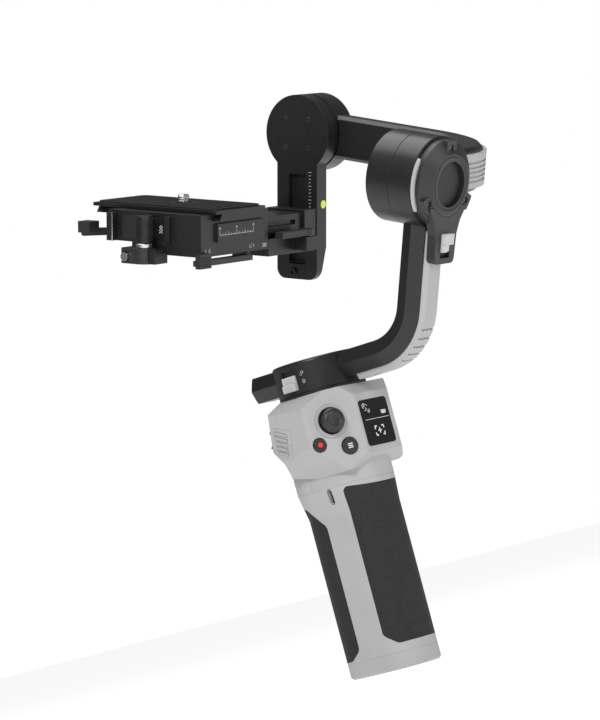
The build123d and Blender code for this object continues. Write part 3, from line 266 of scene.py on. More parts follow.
# ---------------------------------------------------------------- finishes
class Finish:
    """A surface finish made of nodes on Object coordinates."""

    def __init__(self, name):
        self.material = bpy.data.materials.new(name)
        self.material.use_nodes = True
        self.tree = self.material.node_tree
        self.shader = self.tree.nodes["Principled BSDF"]
        self.coords = self.add("ShaderNodeTexCoord")

    def add(self, kind, **inputs):
        node = self.tree.nodes.new(kind)
        for key, value in inputs.items():
            node.inputs[key.replace("_", " ")].default_value = value
        return node

    def link(self, source, target):
        self.tree.links.new(source, target)

    def noise(self, scale, detail=3.0, roughness=0.5, stretch=None):
        """Noise of a given fineness, in cells per metre."""
        node = self.add("ShaderNodeTexNoise", Scale=scale, Detail=detail, Roughness=roughness)
        source = self.coords.outputs["Object"]
        if stretch:
            mapping = self.add("ShaderNodeMapping")
            mapping.inputs["Scale"].default_value = stretch
            self.link(source, mapping.inputs["Vector"])
            source = mapping.outputs["Vector"]
        self.link(source, node.inputs["Vector"])
        return node.outputs["Fac"]

    def colour(self, base, spread, scale):
        """Base colour that varies a little over the surface."""
        ramp = self.add("ShaderNodeValToRGB")
        low = [c * (1 - spread) for c in base] + [1]
        high = [min(1, c * (1 + spread)) for c in base] + [1]
        ramp.color_ramp.elements[0].position = 0.3
        ramp.color_ramp.elements[0].color = low
        ramp.color_ramp.elements[1].position = 0.7
        ramp.color_ramp.elements[1].color = high
        self.link(self.noise(scale, 4), ramp.inputs["Fac"])
        self.link(ramp.outputs["Color"], self.shader.inputs["Base Color"])

    def rough(self, low, high, scale):
        """Roughness that wanders between two values."""
        spread = self.add("ShaderNodeMapRange", From_Min=0.25, From_Max=0.75, To_Min=low, To_Max=high)
        self.link(self.noise(scale, 3), spread.inputs["Value"])
        self.link(spread.outputs["Result"], self.shader.inputs["Roughness"])

    def relief(self, height, strength, distance, edge=0.0):
        """Fine relief, over softly rounded edges."""
        bump = self.add("ShaderNodeBump", Strength=strength, Distance=distance)
        self.link(height, bump.inputs["Height"])
        if edge:
            round_edge = self.add("ShaderNodeBevel", Radius=edge)
            round_edge.samples = 4
            self.link(round_edge.outputs["Normal"], bump.inputs["Normal"])
        self.link(bump.outputs["Normal"], self.shader.inputs["Normal"])

    def set(self, **inputs):
        for key, value in inputs.items():
            self.shader.inputs[key.replace("_", " ")].default_value = value
        return self


FINISHES = {}


def moulded(name, colour, rough=(0.46, 0.6), spread=0.03, edge=0.0005):
    """Fine matt moulded plastic."""
    finish = Finish(name)
    finish.colour(colour, spread, 60)
    finish.rough(rough[0], rough[1], 900)
    finish.relief(finish.noise(5200, 2), 0.12, 0.00004, edge)
    return finish.set(Specular_IOR_Level=0.45).material


def anodised(name, colour, rough=(0.3, 0.42), edge=0.0004):
    """Satin blasted and anodised alloy."""
    finish = Finish(name)
    finish.colour(colour, 0.12, 240)
    finish.rough(rough[0], rough[1], 1400)
    finish.relief(finish.noise(9000, 2), 0.1, 0.00003, edge)
    return finish.set(Specular_IOR_Level=0.55, Metallic=0.25).material


def grained_rubber(name, colour):
    """Soft rubber with a fine leather grain."""
    finish = Finish(name)
    finish.colour(colour, 0.2, 500)
    finish.rough(0.6, 0.78, 1600)
    cells = finish.add("ShaderNodeTexVoronoi", Scale=1500.0)
    cells.feature = "DISTANCE_TO_EDGE"
    wobble = finish.add("ShaderNodeVectorMath")
    wobble.operation = "MULTIPLY_ADD"
    warp = finish.add("ShaderNodeTexNoise", Scale=700.0)
    finish.link(finish.coords.outputs["Object"], warp.inputs["Vector"])
    finish.link(warp.outputs["Color"], wobble.inputs[0])
    wobble.inputs[1].default_value = (0.0006, 0.0006, 0.0006)
    finish.link(finish.coords.outputs["Object"], wobble.inputs[2])
    finish.link(wobble.outputs["Vector"], cells.inputs["Vector"])
    finish.relief(cells.outputs["Distance"], 0.35, 0.00012, 0.0005)
    return finish.set(Specular_IOR_Level=0.35).material


def polished(name, colour, rough=(0.18, 0.3), metallic=1.0):
    """Turned bright metal with fine brush lines."""
    finish = Finish(name)
    finish.colour(colour, 0.06, 300)
    finish.rough(rough[0], rough[1], 1200)
    finish.relief(finish.noise(2500, 2, stretch=(1, 1, 12)), 0.15, 0.00002, 0.0002)
    return finish.set(Metallic=metallic).material


def glass_black(name, colour):
    """Gloss black glass with the faintest smudges."""
    finish = Finish(name)
    finish.colour(colour, 0.1, 90)
    finish.rough(0.05, 0.12, 120)
    finish.relief(finish.noise(300, 1), 0.02, 0.00002)
    return finish.set(Specular_IOR_Level=0.5, Coat_Weight=0.4, Coat_Roughness=0.03).material


def printed(name, colour, glow=0.0):
    """Printed or lit mark."""
    finish = Finish(name)
    finish.colour(colour, 0.05, 800)
    finish.rough(0.4, 0.55, 1200)
    finish.relief(finish.noise(6000, 1), 0.05, 0.00002)
    finish.set(Emission_Color=(*colour, 1), Emission_Strength=glow)
    return finish.material


def make_finishes(looks):
    """One finish per material slot, and the marks."""
    FINISHES.update(
        light_shell=moulded("light_shell_matt", looks.shell_colour, (0.5, 0.64)),
        switch_grey=moulded("switch_satin", looks.switch_colour, (0.34, 0.46), edge=0.0003),
        dark_plastic=moulded("dark_plastic_satin", looks.plastic_colour, (0.36, 0.5), 0.12, 0.0004),
        dark_alloy=anodised("dark_alloy_anodised", looks.alloy_colour),
        grip_rubber=grained_rubber("grip_rubber_grain", looks.rubber_colour),
        pad_rubber=grained_rubber("pad_rubber_grain", looks.rubber_colour),
        screen_black=glass_black("screen_glass", looks.glass_colour),
        steel=polished("turned_steel", looks.steel_colour),
        cell_wrap=moulded("cell_wrap_film", looks.cell_colour, (0.2, 0.3), 0.08),
        copper_winding=polished("enamelled_copper", looks.copper_colour, (0.25, 0.4), 0.9),
        circuit_board=moulded("board_mask", looks.board_colour, (0.25, 0.4), 0.15),
        level_vial=glass_black("level_vial_clear", looks.vial_colour),
        mark=printed("printed_mark", looks.mark_colour),
        seam=moulded("seam_shadow", (0.006, 0.006, 0.0065), (0.6, 0.7), 0.2, 0.0),
        # glows as the lit display does; on the mode button's sign the same glow is painted
        screen_mark=printed("screen_mark", looks.screen_mark_colour, 0.25),
        # the red dot glows faintly: a painted glow, as the button holds no lamp
        record_red=printed("record_red", looks.record_colour, 0.05),
        level_yellow=printed("level_yellow", looks.vial_colour, 0.1),
        # painted shade: a near-black matt finish laid where a recess would be shaded
        recess_black=moulded("recess_black", (0.012, 0.012, 0.013), (0.5, 0.62), 0.15, 0.0),
    )


# ---------------------------------------------------------------- properties
class GimbalLooks(bpy.types.PropertyGroup):
    """Colours and sizes of the gimbal's finishes and fine parts."""

    shell_colour: bpy.props.FloatVectorProperty(
        name="Shell", description="Light grey mouldings", subtype="COLOR", size=3, min=0, max=1,
        default=(0.385, 0.385, 0.383))
    switch_colour: bpy.props.FloatVectorProperty(
        name="Switches", description="Light grey lock switches", subtype="COLOR", size=3, min=0, max=1,
        default=(0.5, 0.5, 0.498))
    plastic_colour: bpy.props.FloatVectorProperty(
        name="Dark plastic", description="Buttons, levers and brackets", subtype="COLOR", size=3, min=0, max=1,
        default=(0.018, 0.018, 0.019))
    alloy_colour: bpy.props.FloatVectorProperty(
        name="Dark alloy", description="Motors, arms and camera stage", subtype="COLOR", size=3, min=0, max=1,
        default=(0.014, 0.014, 0.0145))
    rubber_colour: bpy.props.FloatVectorProperty(
        name="Rubber", description="Grip pads and plate mat", subtype="COLOR", size=3, min=0, max=1,
        default=(0.016, 0.016, 0.0165))
    glass_colour: bpy.props.FloatVectorProperty(
        name="Glass", description="Black display glass", subtype="COLOR", size=3, min=0, max=1,
        default=(0.008, 0.008, 0.009))
    steel_colour: bpy.props.FloatVectorProperty(
        name="Steel", description="Bright pins, screws and inserts", subtype="COLOR", size=3, min=0, max=1,
        default=(0.62, 0.62, 0.63))
    cell_colour: bpy.props.FloatVectorProperty(
        name="Cells", description="Film round the battery cells", subtype="COLOR", size=3, min=0, max=1,
        default=(0.1, 0.32, 0.55))
    copper_colour: bpy.props.FloatVectorProperty(
        name="Windings", description="Enamelled copper", subtype="COLOR", size=3, min=0, max=1,
        default=(0.72, 0.36, 0.16))
    board_colour: bpy.props.FloatVectorProperty(
        name="Board", description="Circuit board mask", subtype="COLOR", size=3, min=0, max=1,
        default=(0.02, 0.14, 0.07))
    vial_colour: bpy.props.FloatVectorProperty(
        name="Level", description="Yellow-green of the bubble level", subtype="COLOR", size=3, min=0, max=1,
        default=(0.72, 0.85, 0.06))
    mark_colour: bpy.props.FloatVectorProperty(
        name="Marks", description="Printed scales and signs", subtype="COLOR", size=3, min=0, max=1,
        default=(0.5, 0.5, 0.5))
    screen_mark_colour: bpy.props.FloatVectorProperty(
        name="Display marks", description="Lit signs on the display", subtype="COLOR", size=3, min=0, max=1,
        default=(0.62, 0.62, 0.63))
    record_colour: bpy.props.FloatVectorProperty(
        name="Record", description="Red dot on the record button", subtype="COLOR", size=3, min=0, max=1,
        default=(0.72, 0.02, 0.015))
    rib_count: bpy.props.IntProperty(
        name="Side ribs", description="Ribs on the head's left pad", default=5, min=1, max=9)
    tick_count: bpy.props.IntProperty(
        name="Scale ticks", description="Ticks on the cross slide's scale", default=13, min=3, max=31)
    mat_rib_pitch: bpy.props.FloatProperty(
        name="Mat ribs", description="Distance between the ribs of the plate's mat", default=0.0021,
        min=0.001, max=0.006, subtype="DISTANCE", unit="LENGTH")


class GimbalStage(bpy.types.PropertyGroup):
    """Floor, light and camera."""

    key_power: bpy.props.FloatProperty(
        name="Key light", description="Power of the main soft box", default=13.0, min=0, unit="POWER")
    fill_power: bpy.props.FloatProperty(
        name="Fill light", description="Power of the soft box on the other side", default=3.6, min=0,
        unit="POWER")
    top_power: bpy.props.FloatProperty(
        name="Top light", description="Power of the overhead soft box", default=9.0, min=0, unit="POWER")
    sky: bpy.props.FloatProperty(
        name="Room light", description="Even white light of the room", default=0.17, min=0, max=4)
    lens: bpy.props.FloatProperty(
        name="Lens", description="Focal length of the camera in millimetres", default=172.5, min=20, max=400)


class Step:
    """What every building step shares."""

    bl_options = {"REGISTER", "UNDO"}

    def execute(self, context):
        self.build(context.scene.gimbal_looks)
        return {"FINISHED"}


# ---------------------------------------------------------------- the steps
class GIMBAL_OT_stage(bpy.types.Operator):
    """Lay the floor, hang the lights and set up the camera"""

    bl_idname = "gimbal.stage"
    bl_label = "Floor, Lights and Camera"
    bl_options = {"REGISTER", "UNDO"}

    def execute(self, context):
        stage = context.scene.gimbal_stage
        bm = bmesh.new()
        bmesh.ops.create_cube(bm, size=1.0)
        bmesh.ops.scale(bm, vec=(14, 14, 0.02), verts=bm.verts)
        bmesh.ops.translate(bm, vec=(0, 0, -0.0104), verts=bm.verts)
        mesh = bpy.data.meshes.new("floor")
        bm.to_mesh(mesh)
        bm.free()
        finish = Finish("floor_white")
        finish.colour((0.5, 0.5, 0.5), 0.005, 2)
        finish.set(Roughness=1.0, Specular_IOR_Level=0.0, Emission_Color=(1, 1, 1, 1), Emission_Strength=0.85)
        mesh.materials.append(finish.material)
        floor = bpy.data.objects.new("floor", mesh)
        context.scene.collection.objects.link(floor)

        world = bpy.data.worlds.new("room")
        world.use_nodes = True
        back = world.node_tree.nodes["Background"]
        back.inputs["Color"].default_value = (1, 1, 1, 1)
        # the open background stays white while the room's own light is softer
        seen = world.node_tree.nodes.new("ShaderNodeLightPath")
        level = world.node_tree.nodes.new("ShaderNodeMapRange")
        level.inputs["To Min"].default_value = stage.sky
        level.inputs["To Max"].default_value = 1.0
        world.node_tree.links.new(seen.outputs["Is Camera Ray"], level.inputs["Value"])
        world.node_tree.links.new(level.outputs["Result"], back.inputs["Strength"])
        context.scene.world = world

        aim = Vector((0.0, -0.03, 0.16))
        for name, place, size, power in (
            ("key_box", (-1.1, -0.5, 0.95), 0.5, stage.key_power),
            ("fill_box", (0.35, -1.25, 0.45), 0.6, stage.fill_power),
            ("top_box", (0.1, 0.15, 1.3), 0.9, stage.top_power),
        ):
            light = bpy.data.lights.new(name, "AREA")
            light.shape = "SQUARE"
            light.size = size
            light.energy = power
            lamp = bpy.data.objects.new(name, light)
            lamp.location = place
            lamp.rotation_euler = (Vector(place) - aim).to_track_quat("Z", "Y").to_euler()
            context.scene.collection.objects.link(lamp)

        camera_data = bpy.data.cameras.new("camera")
        camera_data.lens = stage.lens
        camera_data.sensor_width = 36
        camera_data.clip_end = 50
        camera = bpy.data.objects.new("camera", camera_data)
        right = Vector((0.609, -0.7507, -0.2556)).normalized()
        ahead = Vector((0.7855, 0.6160, 0.0618)).normalized()
        up = right.cross(ahead).normalized()
        right = ahead.cross(up)
        turn = Matrix((right, up, -ahead)).transposed().to_4x4()
        camera.matrix_world = Matrix.Translation((-1.5026, -1.1683, 0.0602)) @ turn
        context.scene.collection.objects.link(camera)
        context.scene.camera = camera
        context.scene.view_settings.view_transform = "Standard"
        return {"FINISHED"}


class GIMBAL_OT_housings(Step, bpy.types.Operator):
    """Give every housing, arm, lever and inner part its finish"""

    bl_idname = "gimbal.housings"
    bl_label = "Housings and Arms"

    def build(self, looks):
        make_finishes(looks)
        for name, node in NODES.items():
            finish = FINISHES[SLOT_OF[name]]
            for slot in node.material_slots:
                slot.material = finish


class GIMBAL_OT_display(Step, bpy.types.Operator):
    """Draw the generic signs on the display"""

    bl_idname = "gimbal.display"
    bl_label = "Display Signs"

    def build(self, looks):
        marks = bmesh.new()
        # divider
        put(marks, slab(21.0, 0.22, LIFT), 0.6, 1.6)
        # battery at the right
        for side in (-1, 1):
            put(marks, slab(3.6, 0.3, LIFT), 7.4, 4.6 + side * 0.9)
            put(marks, slab(0.3, 2.1, LIFT), 7.4 + side * 1.8, 4.6)
        for cell in range(3):
            put(marks, slab(0.75, 1.1, LIFT), 6.45 + cell * 0.95, 4.6)
        put(marks, slab(0.45, 0.9, LIFT), 9.5, 4.6)
        # a small figure of a turning arm at the upper left
        put(marks, arc(1.5, 1.2, LIFT, 30, 250), -8.6, 9.4)
        put(marks, disc(0.42, LIFT), -8.6, 9.4)
        put(marks, slab(0.3, 2.2, LIFT), -7.0, 7.6, turn=35)
        put(marks, arc(1.1, 0.85, LIFT, 200, 420), -5.4, 6.5)
        put(marks, slab(1.5, 0.26, LIFT), -6.3, 9.8, turn=-30)
        put(marks, slab(1.2, 0.26, LIFT), -8.2, 6.9, turn=40)
        put(marks, disc(0.3, LIFT), -5.4, 6.5)
        # the chosen mode: a framed target
        for sx in (-1, 1):
            for sy in (-1, 1):
                put(marks, slab(2.0, 0.75, LIFT, 0.12), 0.4 + sx * 3.2, -5.2 + sy * 2.5)
                put(marks, slab(0.75, 2.0, LIFT, 0.12), 0.4 + sx * 3.85, -5.2 + sy * 1.9)
        put(marks, slab(0.75, 3.0, LIFT, 0.12), 0.4, -5.2)
        put(marks, slab(3.0, 0.75, LIFT, 0.12), 0.4, -5.2)
        finish_piece("display_signs", marks, SCREEN, "handle", FINISHES["screen_mark"])


class GIMBAL_OT_keys(Step, bpy.types.Operator):
    """Print the buttons' signs and ring the round ones with rims"""

    bl_idname = "gimbal.keys"
    bl_label = "Button Signs"

    def build(self, looks):
        crown = 1.0
        # the red dot carries a faint painted glow
        dot = bmesh.new()
        put(dot, disc(1.35, 0.12, 0.05), *RECORD_AT, crown)
        finish_piece("record_dot", dot, STICK, "record_key", FINISHES["record_red"])
        rim = bmesh.new()
        put(rim, ring(3.2, 2.7, 0.18, 0.08), *RECORD_AT, crown - 0.04)
        finish_piece("record_rim", rim, STICK, "record_key", FINISHES["dark_plastic"])
        # the mode sign takes the display's glowing finish: a painted glow on a printed mark
        sign = bmesh.new()
        for step in (-1, 0, 1):
            put(sign, slab(2.9, 0.5, 0.1, 0.2), MODE_AT[0], MODE_AT[1] + step * 1.05, crown)
        finish_piece("mode_sign", sign, STICK, "mode_key", FINISHES["screen_mark"])
        rim = bmesh.new()
        put(rim, ring(4.05, 3.5, 0.18, 0.08), *MODE_AT, crown - 0.04)
        finish_piece("mode_rim", rim, STICK, "mode_key", FINISHES["dark_plastic"])
        low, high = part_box("power_button")
        face = frame_at((high.x / MM, (low.y + high.y) / 2 / MM, (low.z + high.z) / 2 / MM), (0, 1, 0), RIGHT)
        sign = bmesh.new()
        put(sign, arc(1.7, 1.35, 0.08, 130, 410))
        put(sign, slab(0.38, 1.7, 0.08), 0, 1.1)
        finish_piece("power_sign", sign, face, "power_key", FINISHES["mark"])


class GIMBAL_OT_stick(Step, bpy.types.Operator):
    """Turn the joystick's domed cap and the groove round its seat"""

    bl_idname = "gimbal.stick"
    bl_label = "Joystick"

    def build(self, looks):
        cap = bmesh.new()
        put(cap, lathe([
            (0, -7.0), (2.2, -7.0), (2.2, -0.4), (3.4, 0.5), (3.9, 1.6), (4.9, 2.6), (6.3, 3.2), (6.85, 3.7),
            (6.6, 4.3), (6.0, 5.0), (5.2, 5.6), (4.5, 5.9), (4.25, 6.3), (3.95, 6.65), (3.6, 6.7), (3.4, 6.5),
            (3.0, 6.25), (1.6, 6.05), (0, 6.0),
        ]))
        for step in range(24):
            put(cap, slab(0.9, 0.28, 0.24, 0, 0.08), 5.6 * cos(step * pi / 12), 5.6 * sin(step * pi / 12), 5.2,
                turn=step * 15)
        finish_piece("joystick_dome", cap, STICK, "joystick", FINISHES["dark_plastic"],
                     ("joystick_cap",))
        # the well rim's near-black finish is painted shade in the gap round the dome
        collar = bmesh.new()
        put(collar, ring(7.48, 7.15, 0.4, 0.1), z=0.25)
        finish_piece("joystick_well_rim", collar, STICK, "handle", FINISHES["recess_black"])
        groove = bmesh.new()
        put(groove, ring(10.6, 10.35, 0.03), z=0.0)
        finish_piece("joystick_seat_line", groove, STICK, "handle", FINISHES["mark"])


def padlock(open_shackle):
    """A small padlock sign, about a millimetre and a half across."""
    sign = bmesh.new()
    put(sign, ring(0.85, 0.6, LIFT, steps=24))
    if open_shackle:
        put(sign, arc(0.65, 0.45, LIFT, 10, 170, 10), 0.75, 1.0, turn=-20)
    else:
        put(sign, arc(0.6, 0.4, LIFT, 0, 180, 10), 0, 0.75)
    return sign


def screw_head(radius, depth=0.5):
    """A socket screw's head with a round socket."""
    head = lathe([(0, -1.2), (radius, -1.2), (radius, depth - 0.25), (radius - 0.25, depth),
                  (radius * 0.62, depth), (radius * 0.5, depth - 0.15), (radius * 0.5, depth - 0.9),
                  (0, depth - 0.9)], 36)
    return head


def thread_crest(root, crest):
    """One turn of a quarter-inch thread."""
    return lathe([(root, 0.0), (crest, 0.32), (crest, 0.42), (root, 0.74)], 40, closed=True)


def chevrons(count, size, pitch):
    """A row of arrow heads that point along x."""
    row = bmesh.new()
    for step in range(count):
        for side in (-1, 1):
            put(row, slab(size, size * 0.28, LIFT), step * pitch, side * size * 0.33, turn=-side * 42)
    return row


class GIMBAL_OT_head_trim(Step, bpy.types.Operator):
    """Add the ribbed side pad and the port's contacts"""

    bl_idname = "gimbal.head_trim"
    bl_label = "Head and Handle Trim"

    def build(self, looks):
        # a ribbed pad on the left side, where a finger rests
        side = frame_at((-37.15, 6.0, 135.5), (-0.127, -0.992, 0), (-0.992, 0.127, 0))
        ribs = bmesh.new()
        put(ribs, plate([(-6.8, -6.6), (2.9, -10.8), (6.6, 4.6), (-6.8, 9.0)], 0.7, 0.25), z=-0.3)
        for step in range(looks.rib_count):
            rib = slab(10.6 - 0.35 * step, 1.2, 1.3, 0.58, 0.3)
            put(ribs, rib, -1.1 - 0.35 * step, 4.4 - 2.65 * step, -0.2, turn=-22)
        finish_piece("left_ribs", ribs, side, "handle", FINISHES["light_shell"])
        contacts = bmesh.new()
        for step in range(7):
            put(contacts, slab(0.35, 0.28, 2.6), 0.48, -2.1 + 0.7 * step)
            put(contacts, slab(0.35, 0.28, 2.6), -0.48, -2.1 + 0.7 * step)
        port = frame_at((-22.0 + 2.5 + 3.9, -3.0, 100.0), (0, -1, 0), (-1, 0, 0))
        finish_piece("port_contacts", contacts, port, "handle", FINISHES["steel"])


class GIMBAL_OT_base_trim(Step, bpy.types.Operator):
    """Cut the tripod thread and add the base's rubber foot and screws"""

    bl_idname = "gimbal.base_trim"
    bl_label = "Base Trim"

    def build(self, looks):
        down = frame_at((0, 0, 0), RIGHT, (0, 0, -1))
        thread = bmesh.new()
        for turn in range(6):
            put(thread, thread_crest(2.9, 2.55), z=-1.9 - THREAD_PITCH * turn)
        finish_piece("tripod_thread_crests", thread, down, "handle", FINISHES["steel"])
        foot = bmesh.new()
        put(foot, ring(14.2, 12.6, 0.5, 0.15), z=-0.46)
        put(foot, ring(16.6, 16.2, 0.42, 0.1), z=-0.4)
        finish_piece("base_foot_rings", foot, down, "handle", FINISHES["grip_rubber"])
        screws = bmesh.new()
        for y in (-20.5, 20.5):
            put(screws, screw_head(1.7, 0.0), 0, y, -0.02)
        finish_piece("base_screws", screws, down, "handle", FINISHES["dark_plastic"])
        seam = bmesh.new()
        put(seam, slab(39.7, 51.7, 0.3, 17.8), z=8.85)
        finish_piece("base_cap_seam", seam, ROW, "handle", FINISHES["seam"])


class GIMBAL_OT_pan_trim(Step, bpy.types.Operator):
    """Add the pan motor's seam, its padlock signs and the switch's ridges"""

    bl_idname = "gimbal.pan_trim"
    bl_label = "Pan Motor Trim"

    def build(self, looks):
        seam = bmesh.new()
        put(seam, arc(PAN_RADIUS + 0.06, 24.3, 0.22, 196, 250, 40), z=PAN_SEAM_Z)
        put(seam, arc(PAN_RADIUS + 0.06, 24.3, 0.22, 290, 430, 80), z=PAN_SEAM_Z)
        put(seam, arc(PAN_RADIUS + 0.06, 24.3, 0.22, 110, 164, 40), z=PAN_SEAM_Z)
        finish_piece("pan_seam", seam, ROW, "pan_arm", FINISHES["seam"])
        for name, turn, height, is_open in (
            ("pan_open_sign", 21.5, 169.9, True), ("pan_closed_sign", 21.5, 165.2, False),
        ):
            angle = pi - SWITCH_TURN + radians(turn)
            outward = Vector((cos(angle), sin(angle), 0))
            face = frame_at(outward * PAN_RADIUS + Vector((0, 0, height)), (outward.y, -outward.x, 0), outward)
            finish_piece(name, padlock(is_open), face, "pan_arm", FINISHES["mark"])
        ridges = bmesh.new()
        for step in range(3):
            put(ridges, slab(6.4, 0.35, 0.3, 0, 0.1), 0, 1.0 + step * 0.95, 2.15)
        for step in range(3):
            put(ridges, slab(6.4, 0.35, 0.3, 0, 0.1), 0, 5.4 + step * 0.85, 0.75)
        outward = Vector((-cos(SWITCH_TURN), sin(SWITCH_TURN), 0))
        across = Vector((-sin(SWITCH_TURN), -cos(SWITCH_TURN), 0))
        face = frame_at(outward * PAN_RADIUS + Vector((0, 0, SWITCH_BOTTOM_Z)), across, outward)
        finish_piece("pan_switch_ridges", ridges, face, "pan_lock", FINISHES["switch_grey"])
        top = bmesh.new()
        put(top, ring(21.4, 21.1, 0.03), z=PAN_TOP_Z)
        put(top, ring(8.4, 8.1, 0.03), z=PAN_TOP_Z)
        finish_piece("pan_top_lines", top, ROW, "pan_arm", FINISHES["seam"])


class GIMBAL_OT_roll_trim(Step, bpy.types.Operator):
    """Add the roll motor's cap rings, grooves and switch ridges"""

    bl_idname = "gimbal.roll_trim"
    bl_label = "Roll Motor Trim"

    def build(self, looks):
        # the cap disc's near-black finish is painted shade on the recessed floor inside the cap ring
        cap = bmesh.new()
        put(cap, disc(12.1, 0.25, 0.1), z=0.0)
        finish_piece("roll_cap_disc", cap, roll_rear(-14.05), "pan_arm",
                     FINISHES["recess_black"])
        rings = bmesh.new()
        put(rings, lathe([(12.4, -1.6), (13.4, 0.0), (14.6, 0.35), (15.0, 0.1), (14.8, -1.0)], 96, closed=True))
        finish_piece("roll_cap_ring", rings, roll_rear(-17.0), "pan_arm",
                     FINISHES["dark_alloy"])
        gap = bmesh.new()
        put(gap, ring(24.86, 23.4, 0.5, 0.1, 96), z=0.02)
        finish_piece("roll_cap_gap", gap, roll_rear(-7.7), "pan_arm", FINISHES["seam"])
        seam = bmesh.new()
        put(seam, ring(24.9, 24.2, 0.2, 0.0, 96), z=0.15)
        finish_piece("roll_rotor_seam", seam, roll_rear(7.1), "roll_arm", FINISHES["seam"])
        ridges = bmesh.new()
        for step in range(3):
            put(ridges, slab(6.2, 0.35, 0.3, 0, 0.1), 0, -27.9 - step * 1.5, 2.6)
        finish_piece("roll_switch_ridges", ridges, roll_rear(-16.3), "roll_lock",
                     FINISHES["switch_grey"])


class GIMBAL_OT_tilt_trim(Step, bpy.types.Operator):
    """Add the tilt motor's rings and screws and the upright plate's scale and marks"""

    bl_idname = "gimbal.tilt_trim"
    bl_label = "Tilt Motor Trim"

    def build(self, looks):
        cap = bmesh.new()
        put(cap, ring(17.0, 16.6, 0.04, steps=96), z=1.6)
        put(cap, ring(10.5, 10.1, 0.04, steps=72), z=1.6)
        finish_piece("tilt_cap_lines", cap, tilt_side(TILT_OUTER_X), "roll_arm",
                     FINISHES["seam"])
        screws = bmesh.new()
        for step in range(3):
            angle = radians(90 + 120 * step)
            put(screws, screw_head(1.6, 0.35), 13.6 * cos(angle), 13.6 * sin(angle), 1.5)
        finish_piece("tilt_cap_screws", screws, tilt_side(TILT_OUTER_X), "roll_arm",
                     FINISHES["dark_plastic"])
        inner = frame_at((TILT_INNER_X, TILT_POINT.y, TILT_POINT.z), -FORWARD, (-1, 0, 0))
        hub = bmesh.new()
        put(hub, ring(17.5, 17.1, 0.04, steps=96))
        put(hub, ring(6.4, 6.0, 0.04, steps=48))
        finish_piece("tilt_plate_lines", hub, inner, "tilt_frame", FINISHES["seam"])
        screws = bmesh.new()
        for step in range(4):
            angle = radians(45 + 90 * step)
            put(screws, screw_head(1.5, 0.3), 11.8 * cos(angle), 11.8 * sin(angle))
        finish_piece("tilt_plate_screws", screws, inner, "tilt_frame", FINISHES["dark_plastic"])
        scale = bmesh.new()
        for step in range(13):
            length = 1.4 if step % 4 else 2.4
            put(scale, slab(length, 0.25, LIFT), 9.4, -22.0 - 2.0 * step)
        finish_piece("height_scale", scale, inner, "tilt_frame", FINISHES["mark"])
        panel = bmesh.new()
        put(panel, slab(21.0, 0.3, 0.05), 0.5, -74.6)
        put(panel, slab(0.3, 6.0, 0.05), 10.8, -76.6)
        finish_piece("plate_foot_lines", panel, inner, "tilt_frame", FINISHES["seam"])


class GIMBAL_OT_stage_marks(Step, bpy.types.Operator):
    """Print the camera stage's scale, arrows and lock signs"""

    bl_idname = "gimbal.stage_marks"
    bl_label = "Stage Marks"

    def build(self, looks):
        scale = bmesh.new()
        span, low = 30.0, -15.5
        pitch = span / (looks.tick_count - 1)
        for step in range(looks.tick_count):
            tall = 2.2 if step % 6 == 0 else (1.6 if step % 3 == 0 else 1.0)
            put(scale, slab(0.28, tall, LIFT), low + step * pitch, 233.6 + tall / 2)
        put(scale, slab(span + 0.6, 0.28, LIFT), low + span / 2, 233.5)
        for place in (0, 6, 12):
            put(scale, ring(0.75, 0.45, LIFT, steps=24), low + place * pitch, 237.3)
        finish_piece("cross_scale", scale, stage_rear(BASE_REAR - 1.8), "base_block",
                     FINISHES["mark"])
        signs = bmesh.new()
        put(signs, chevrons(3, 1.6, 1.3), 25.5, 224.6)
        put(signs, chevrons(1, 1.3, 1.0), -26.0, 225.2, turn=180)
        put(signs, padlock(False), -22.6, 225.0)
        put(signs, padlock(True), 14.0, 224.8)
        put(signs, chevrons(1, 1.3, 1.0), 16.8, 225.1)
        finish_piece("lock_signs", signs, stage_rear(BASE_REAR), "base_block", FINISHES["mark"])
        signs = bmesh.new()
        put(signs, chevrons(3, 1.8, 1.5), -141.7, 234.6, turn=90)
        finish_piece("release_signs", signs, stage_left(BASE_LEFT), "base_block",
                     FINISHES["mark"])


class GIMBAL_OT_stage_parts(Step, bpy.types.Operator):
    """Add the stage's ribs, washers, screws and lever grips"""

    bl_idname = "gimbal.stage_parts"
    bl_label = "Stage Fittings"

    def build(self, looks):
        washer = bmesh.new()
        put(washer, ring(4.7, 3.1, 2.2, 0.3, 48), HUB_R, HUB_F, 226.4)
        finish_piece("lever_washer", washer, stage_top(0), "clamp_lever", FINISHES["steel"])
        knurl = bmesh.new()
        for step in range(28):
            angle = 2 * pi * step / 28
            rise = 4.38 * sin(angle)
            flute = slab(0.5, 0.34, 13.0, 0, 0.1)
            put(knurl, flute, HUB_R + 4.38 * cos(angle), HUB_F + rise, 230.0,
                turn=360 * step / 28)
        finish_piece("lever_boss_flutes", knurl, stage_top(0), "base_block",
                     FINISHES["dark_alloy"])
        # a flat near-black sheet on the left face: painted shade standing in for a recess
        recess = bmesh.new()
        put(recess, slab(16.0, 13.4, 0.12), -162.0, 236.2)
        finish_piece("left_recess_painted_shade", recess, stage_left(BASE_LEFT), "base_block",
                     FINISHES["recess_black"])
        edge = bmesh.new()
        put(edge, slab(0.7, 15.2, 0.3, 0, 0.1), -173.3, 236.2)
        finish_piece("left_bar_edge", edge, stage_left(BASE_LEFT - 5.0), "base_block",
                     FINISHES["steel"])
        grips = bmesh.new()
        for step in range(5):
            put(grips, slab(8.0, 0.5, 0.4, 0, 0.15), -30.5, 217.2 + 1.3 * step)
        finish_piece("cross_lever_grip", grips, stage_rear(LEVER_REAR), "cross_lever",
                     FINISHES["dark_plastic"])
        under = frame_at(stage_point(0, 0, 222.0), RIGHT, -UP)
        screws = bmesh.new()
        for r in (-22.0, 22.0):
            for f in (122.0, 156.0):
                put(screws, screw_head(1.9, 0.3), r, -f)
        finish_piece("base_block_screws", screws, under, "base_block", FINISHES["dark_plastic"])


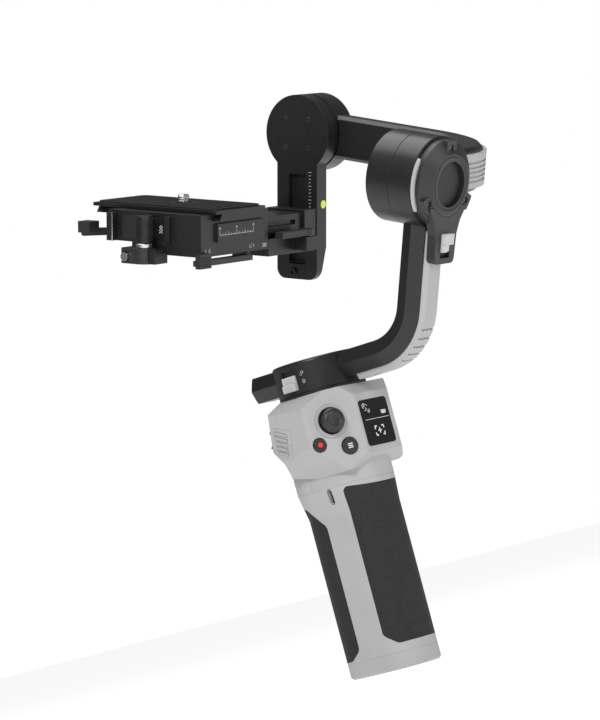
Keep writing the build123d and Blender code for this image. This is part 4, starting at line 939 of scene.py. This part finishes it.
class GIMBAL_OT_mat(Step, bpy.types.Operator):
    """Rib the camera plate's rubber mat"""

    bl_idname = "gimbal.mat"
    bl_label = "Plate Mat"

    def build(self, looks):
        mat = bmesh.new()
        pitch = looks.mat_rib_pitch / MM
        count = int(82 / pitch)
        for step in range(count):
            f = 113.0 + step * pitch
            if abs(f - SCREW_F) < 6.5:
                for side in (-1, 1):
                    put(mat, slab(11.5, pitch * 0.45, 0.28, 0, 0.1), side * 13.2, f, MAT_TOP)
            else:
                put(mat, slab(38.0, pitch * 0.45, 0.28, 0, 0.1), 0, f, MAT_TOP)
        put(mat, ring(8.2, 7.4, 0.28, 0.1, 48), 0, SCREW_F, MAT_TOP)
        finish_piece("mat_ribs", mat, stage_top(0), "quick_plate", FINISHES["pad_rubber"])
        thread = bmesh.new()
        for turn in range(3):
            put(thread, thread_crest(3.0, 3.3), 0, SCREW_F, MAT_TOP + 0.5 + THREAD_PITCH * turn)
        finish_piece("camera_screw_thread", thread, stage_top(0), "camera_bolt", FINISHES["steel"])


STEPS = (
    GIMBAL_OT_stage,
    GIMBAL_OT_housings,
    GIMBAL_OT_display,
    GIMBAL_OT_keys,
    GIMBAL_OT_stick,
    GIMBAL_OT_head_trim,
    GIMBAL_OT_base_trim,
    GIMBAL_OT_pan_trim,
    GIMBAL_OT_roll_trim,
    GIMBAL_OT_tilt_trim,
    GIMBAL_OT_stage_marks,
    GIMBAL_OT_stage_parts,
    GIMBAL_OT_mat,
)


class GIMBAL_PT_panel(bpy.types.Panel):
    """Every building step of the gimbal, in order"""

    bl_idname = "GIMBAL_PT_panel"
    bl_label = "Camera Gimbal"
    bl_space_type = "VIEW_3D"
    bl_region_type = "UI"
    bl_category = "Gimbal"

    def draw(self, context):
        column = self.layout.column()
        for step in STEPS:
            column.operator(step.bl_idname)
        for group in (context.scene.gimbal_looks, context.scene.gimbal_stage):
            for name in group.__annotations__:
                column.prop(group, name)


CLASSES = (GimbalLooks, GimbalStage) + STEPS + (GIMBAL_PT_panel,)


def register():
    for cls in CLASSES:
        bpy.utils.register_class(cls)
    bpy.types.Scene.gimbal_looks = bpy.props.PointerProperty(type=GimbalLooks)
    bpy.types.Scene.gimbal_stage = bpy.props.PointerProperty(type=GimbalStage)


def unregister():
    del bpy.types.Scene.gimbal_stage
    del bpy.types.Scene.gimbal_looks
    for cls in reversed(CLASSES):
        bpy.utils.unregister_class(cls)


def main():
    """Builds the gimbal step by step."""
    register()
    for step in STEPS:
        group, name = step.bl_idname.split(".")
        getattr(getattr(bpy.ops, group), name)()


if __name__ == "__main__":
    main()
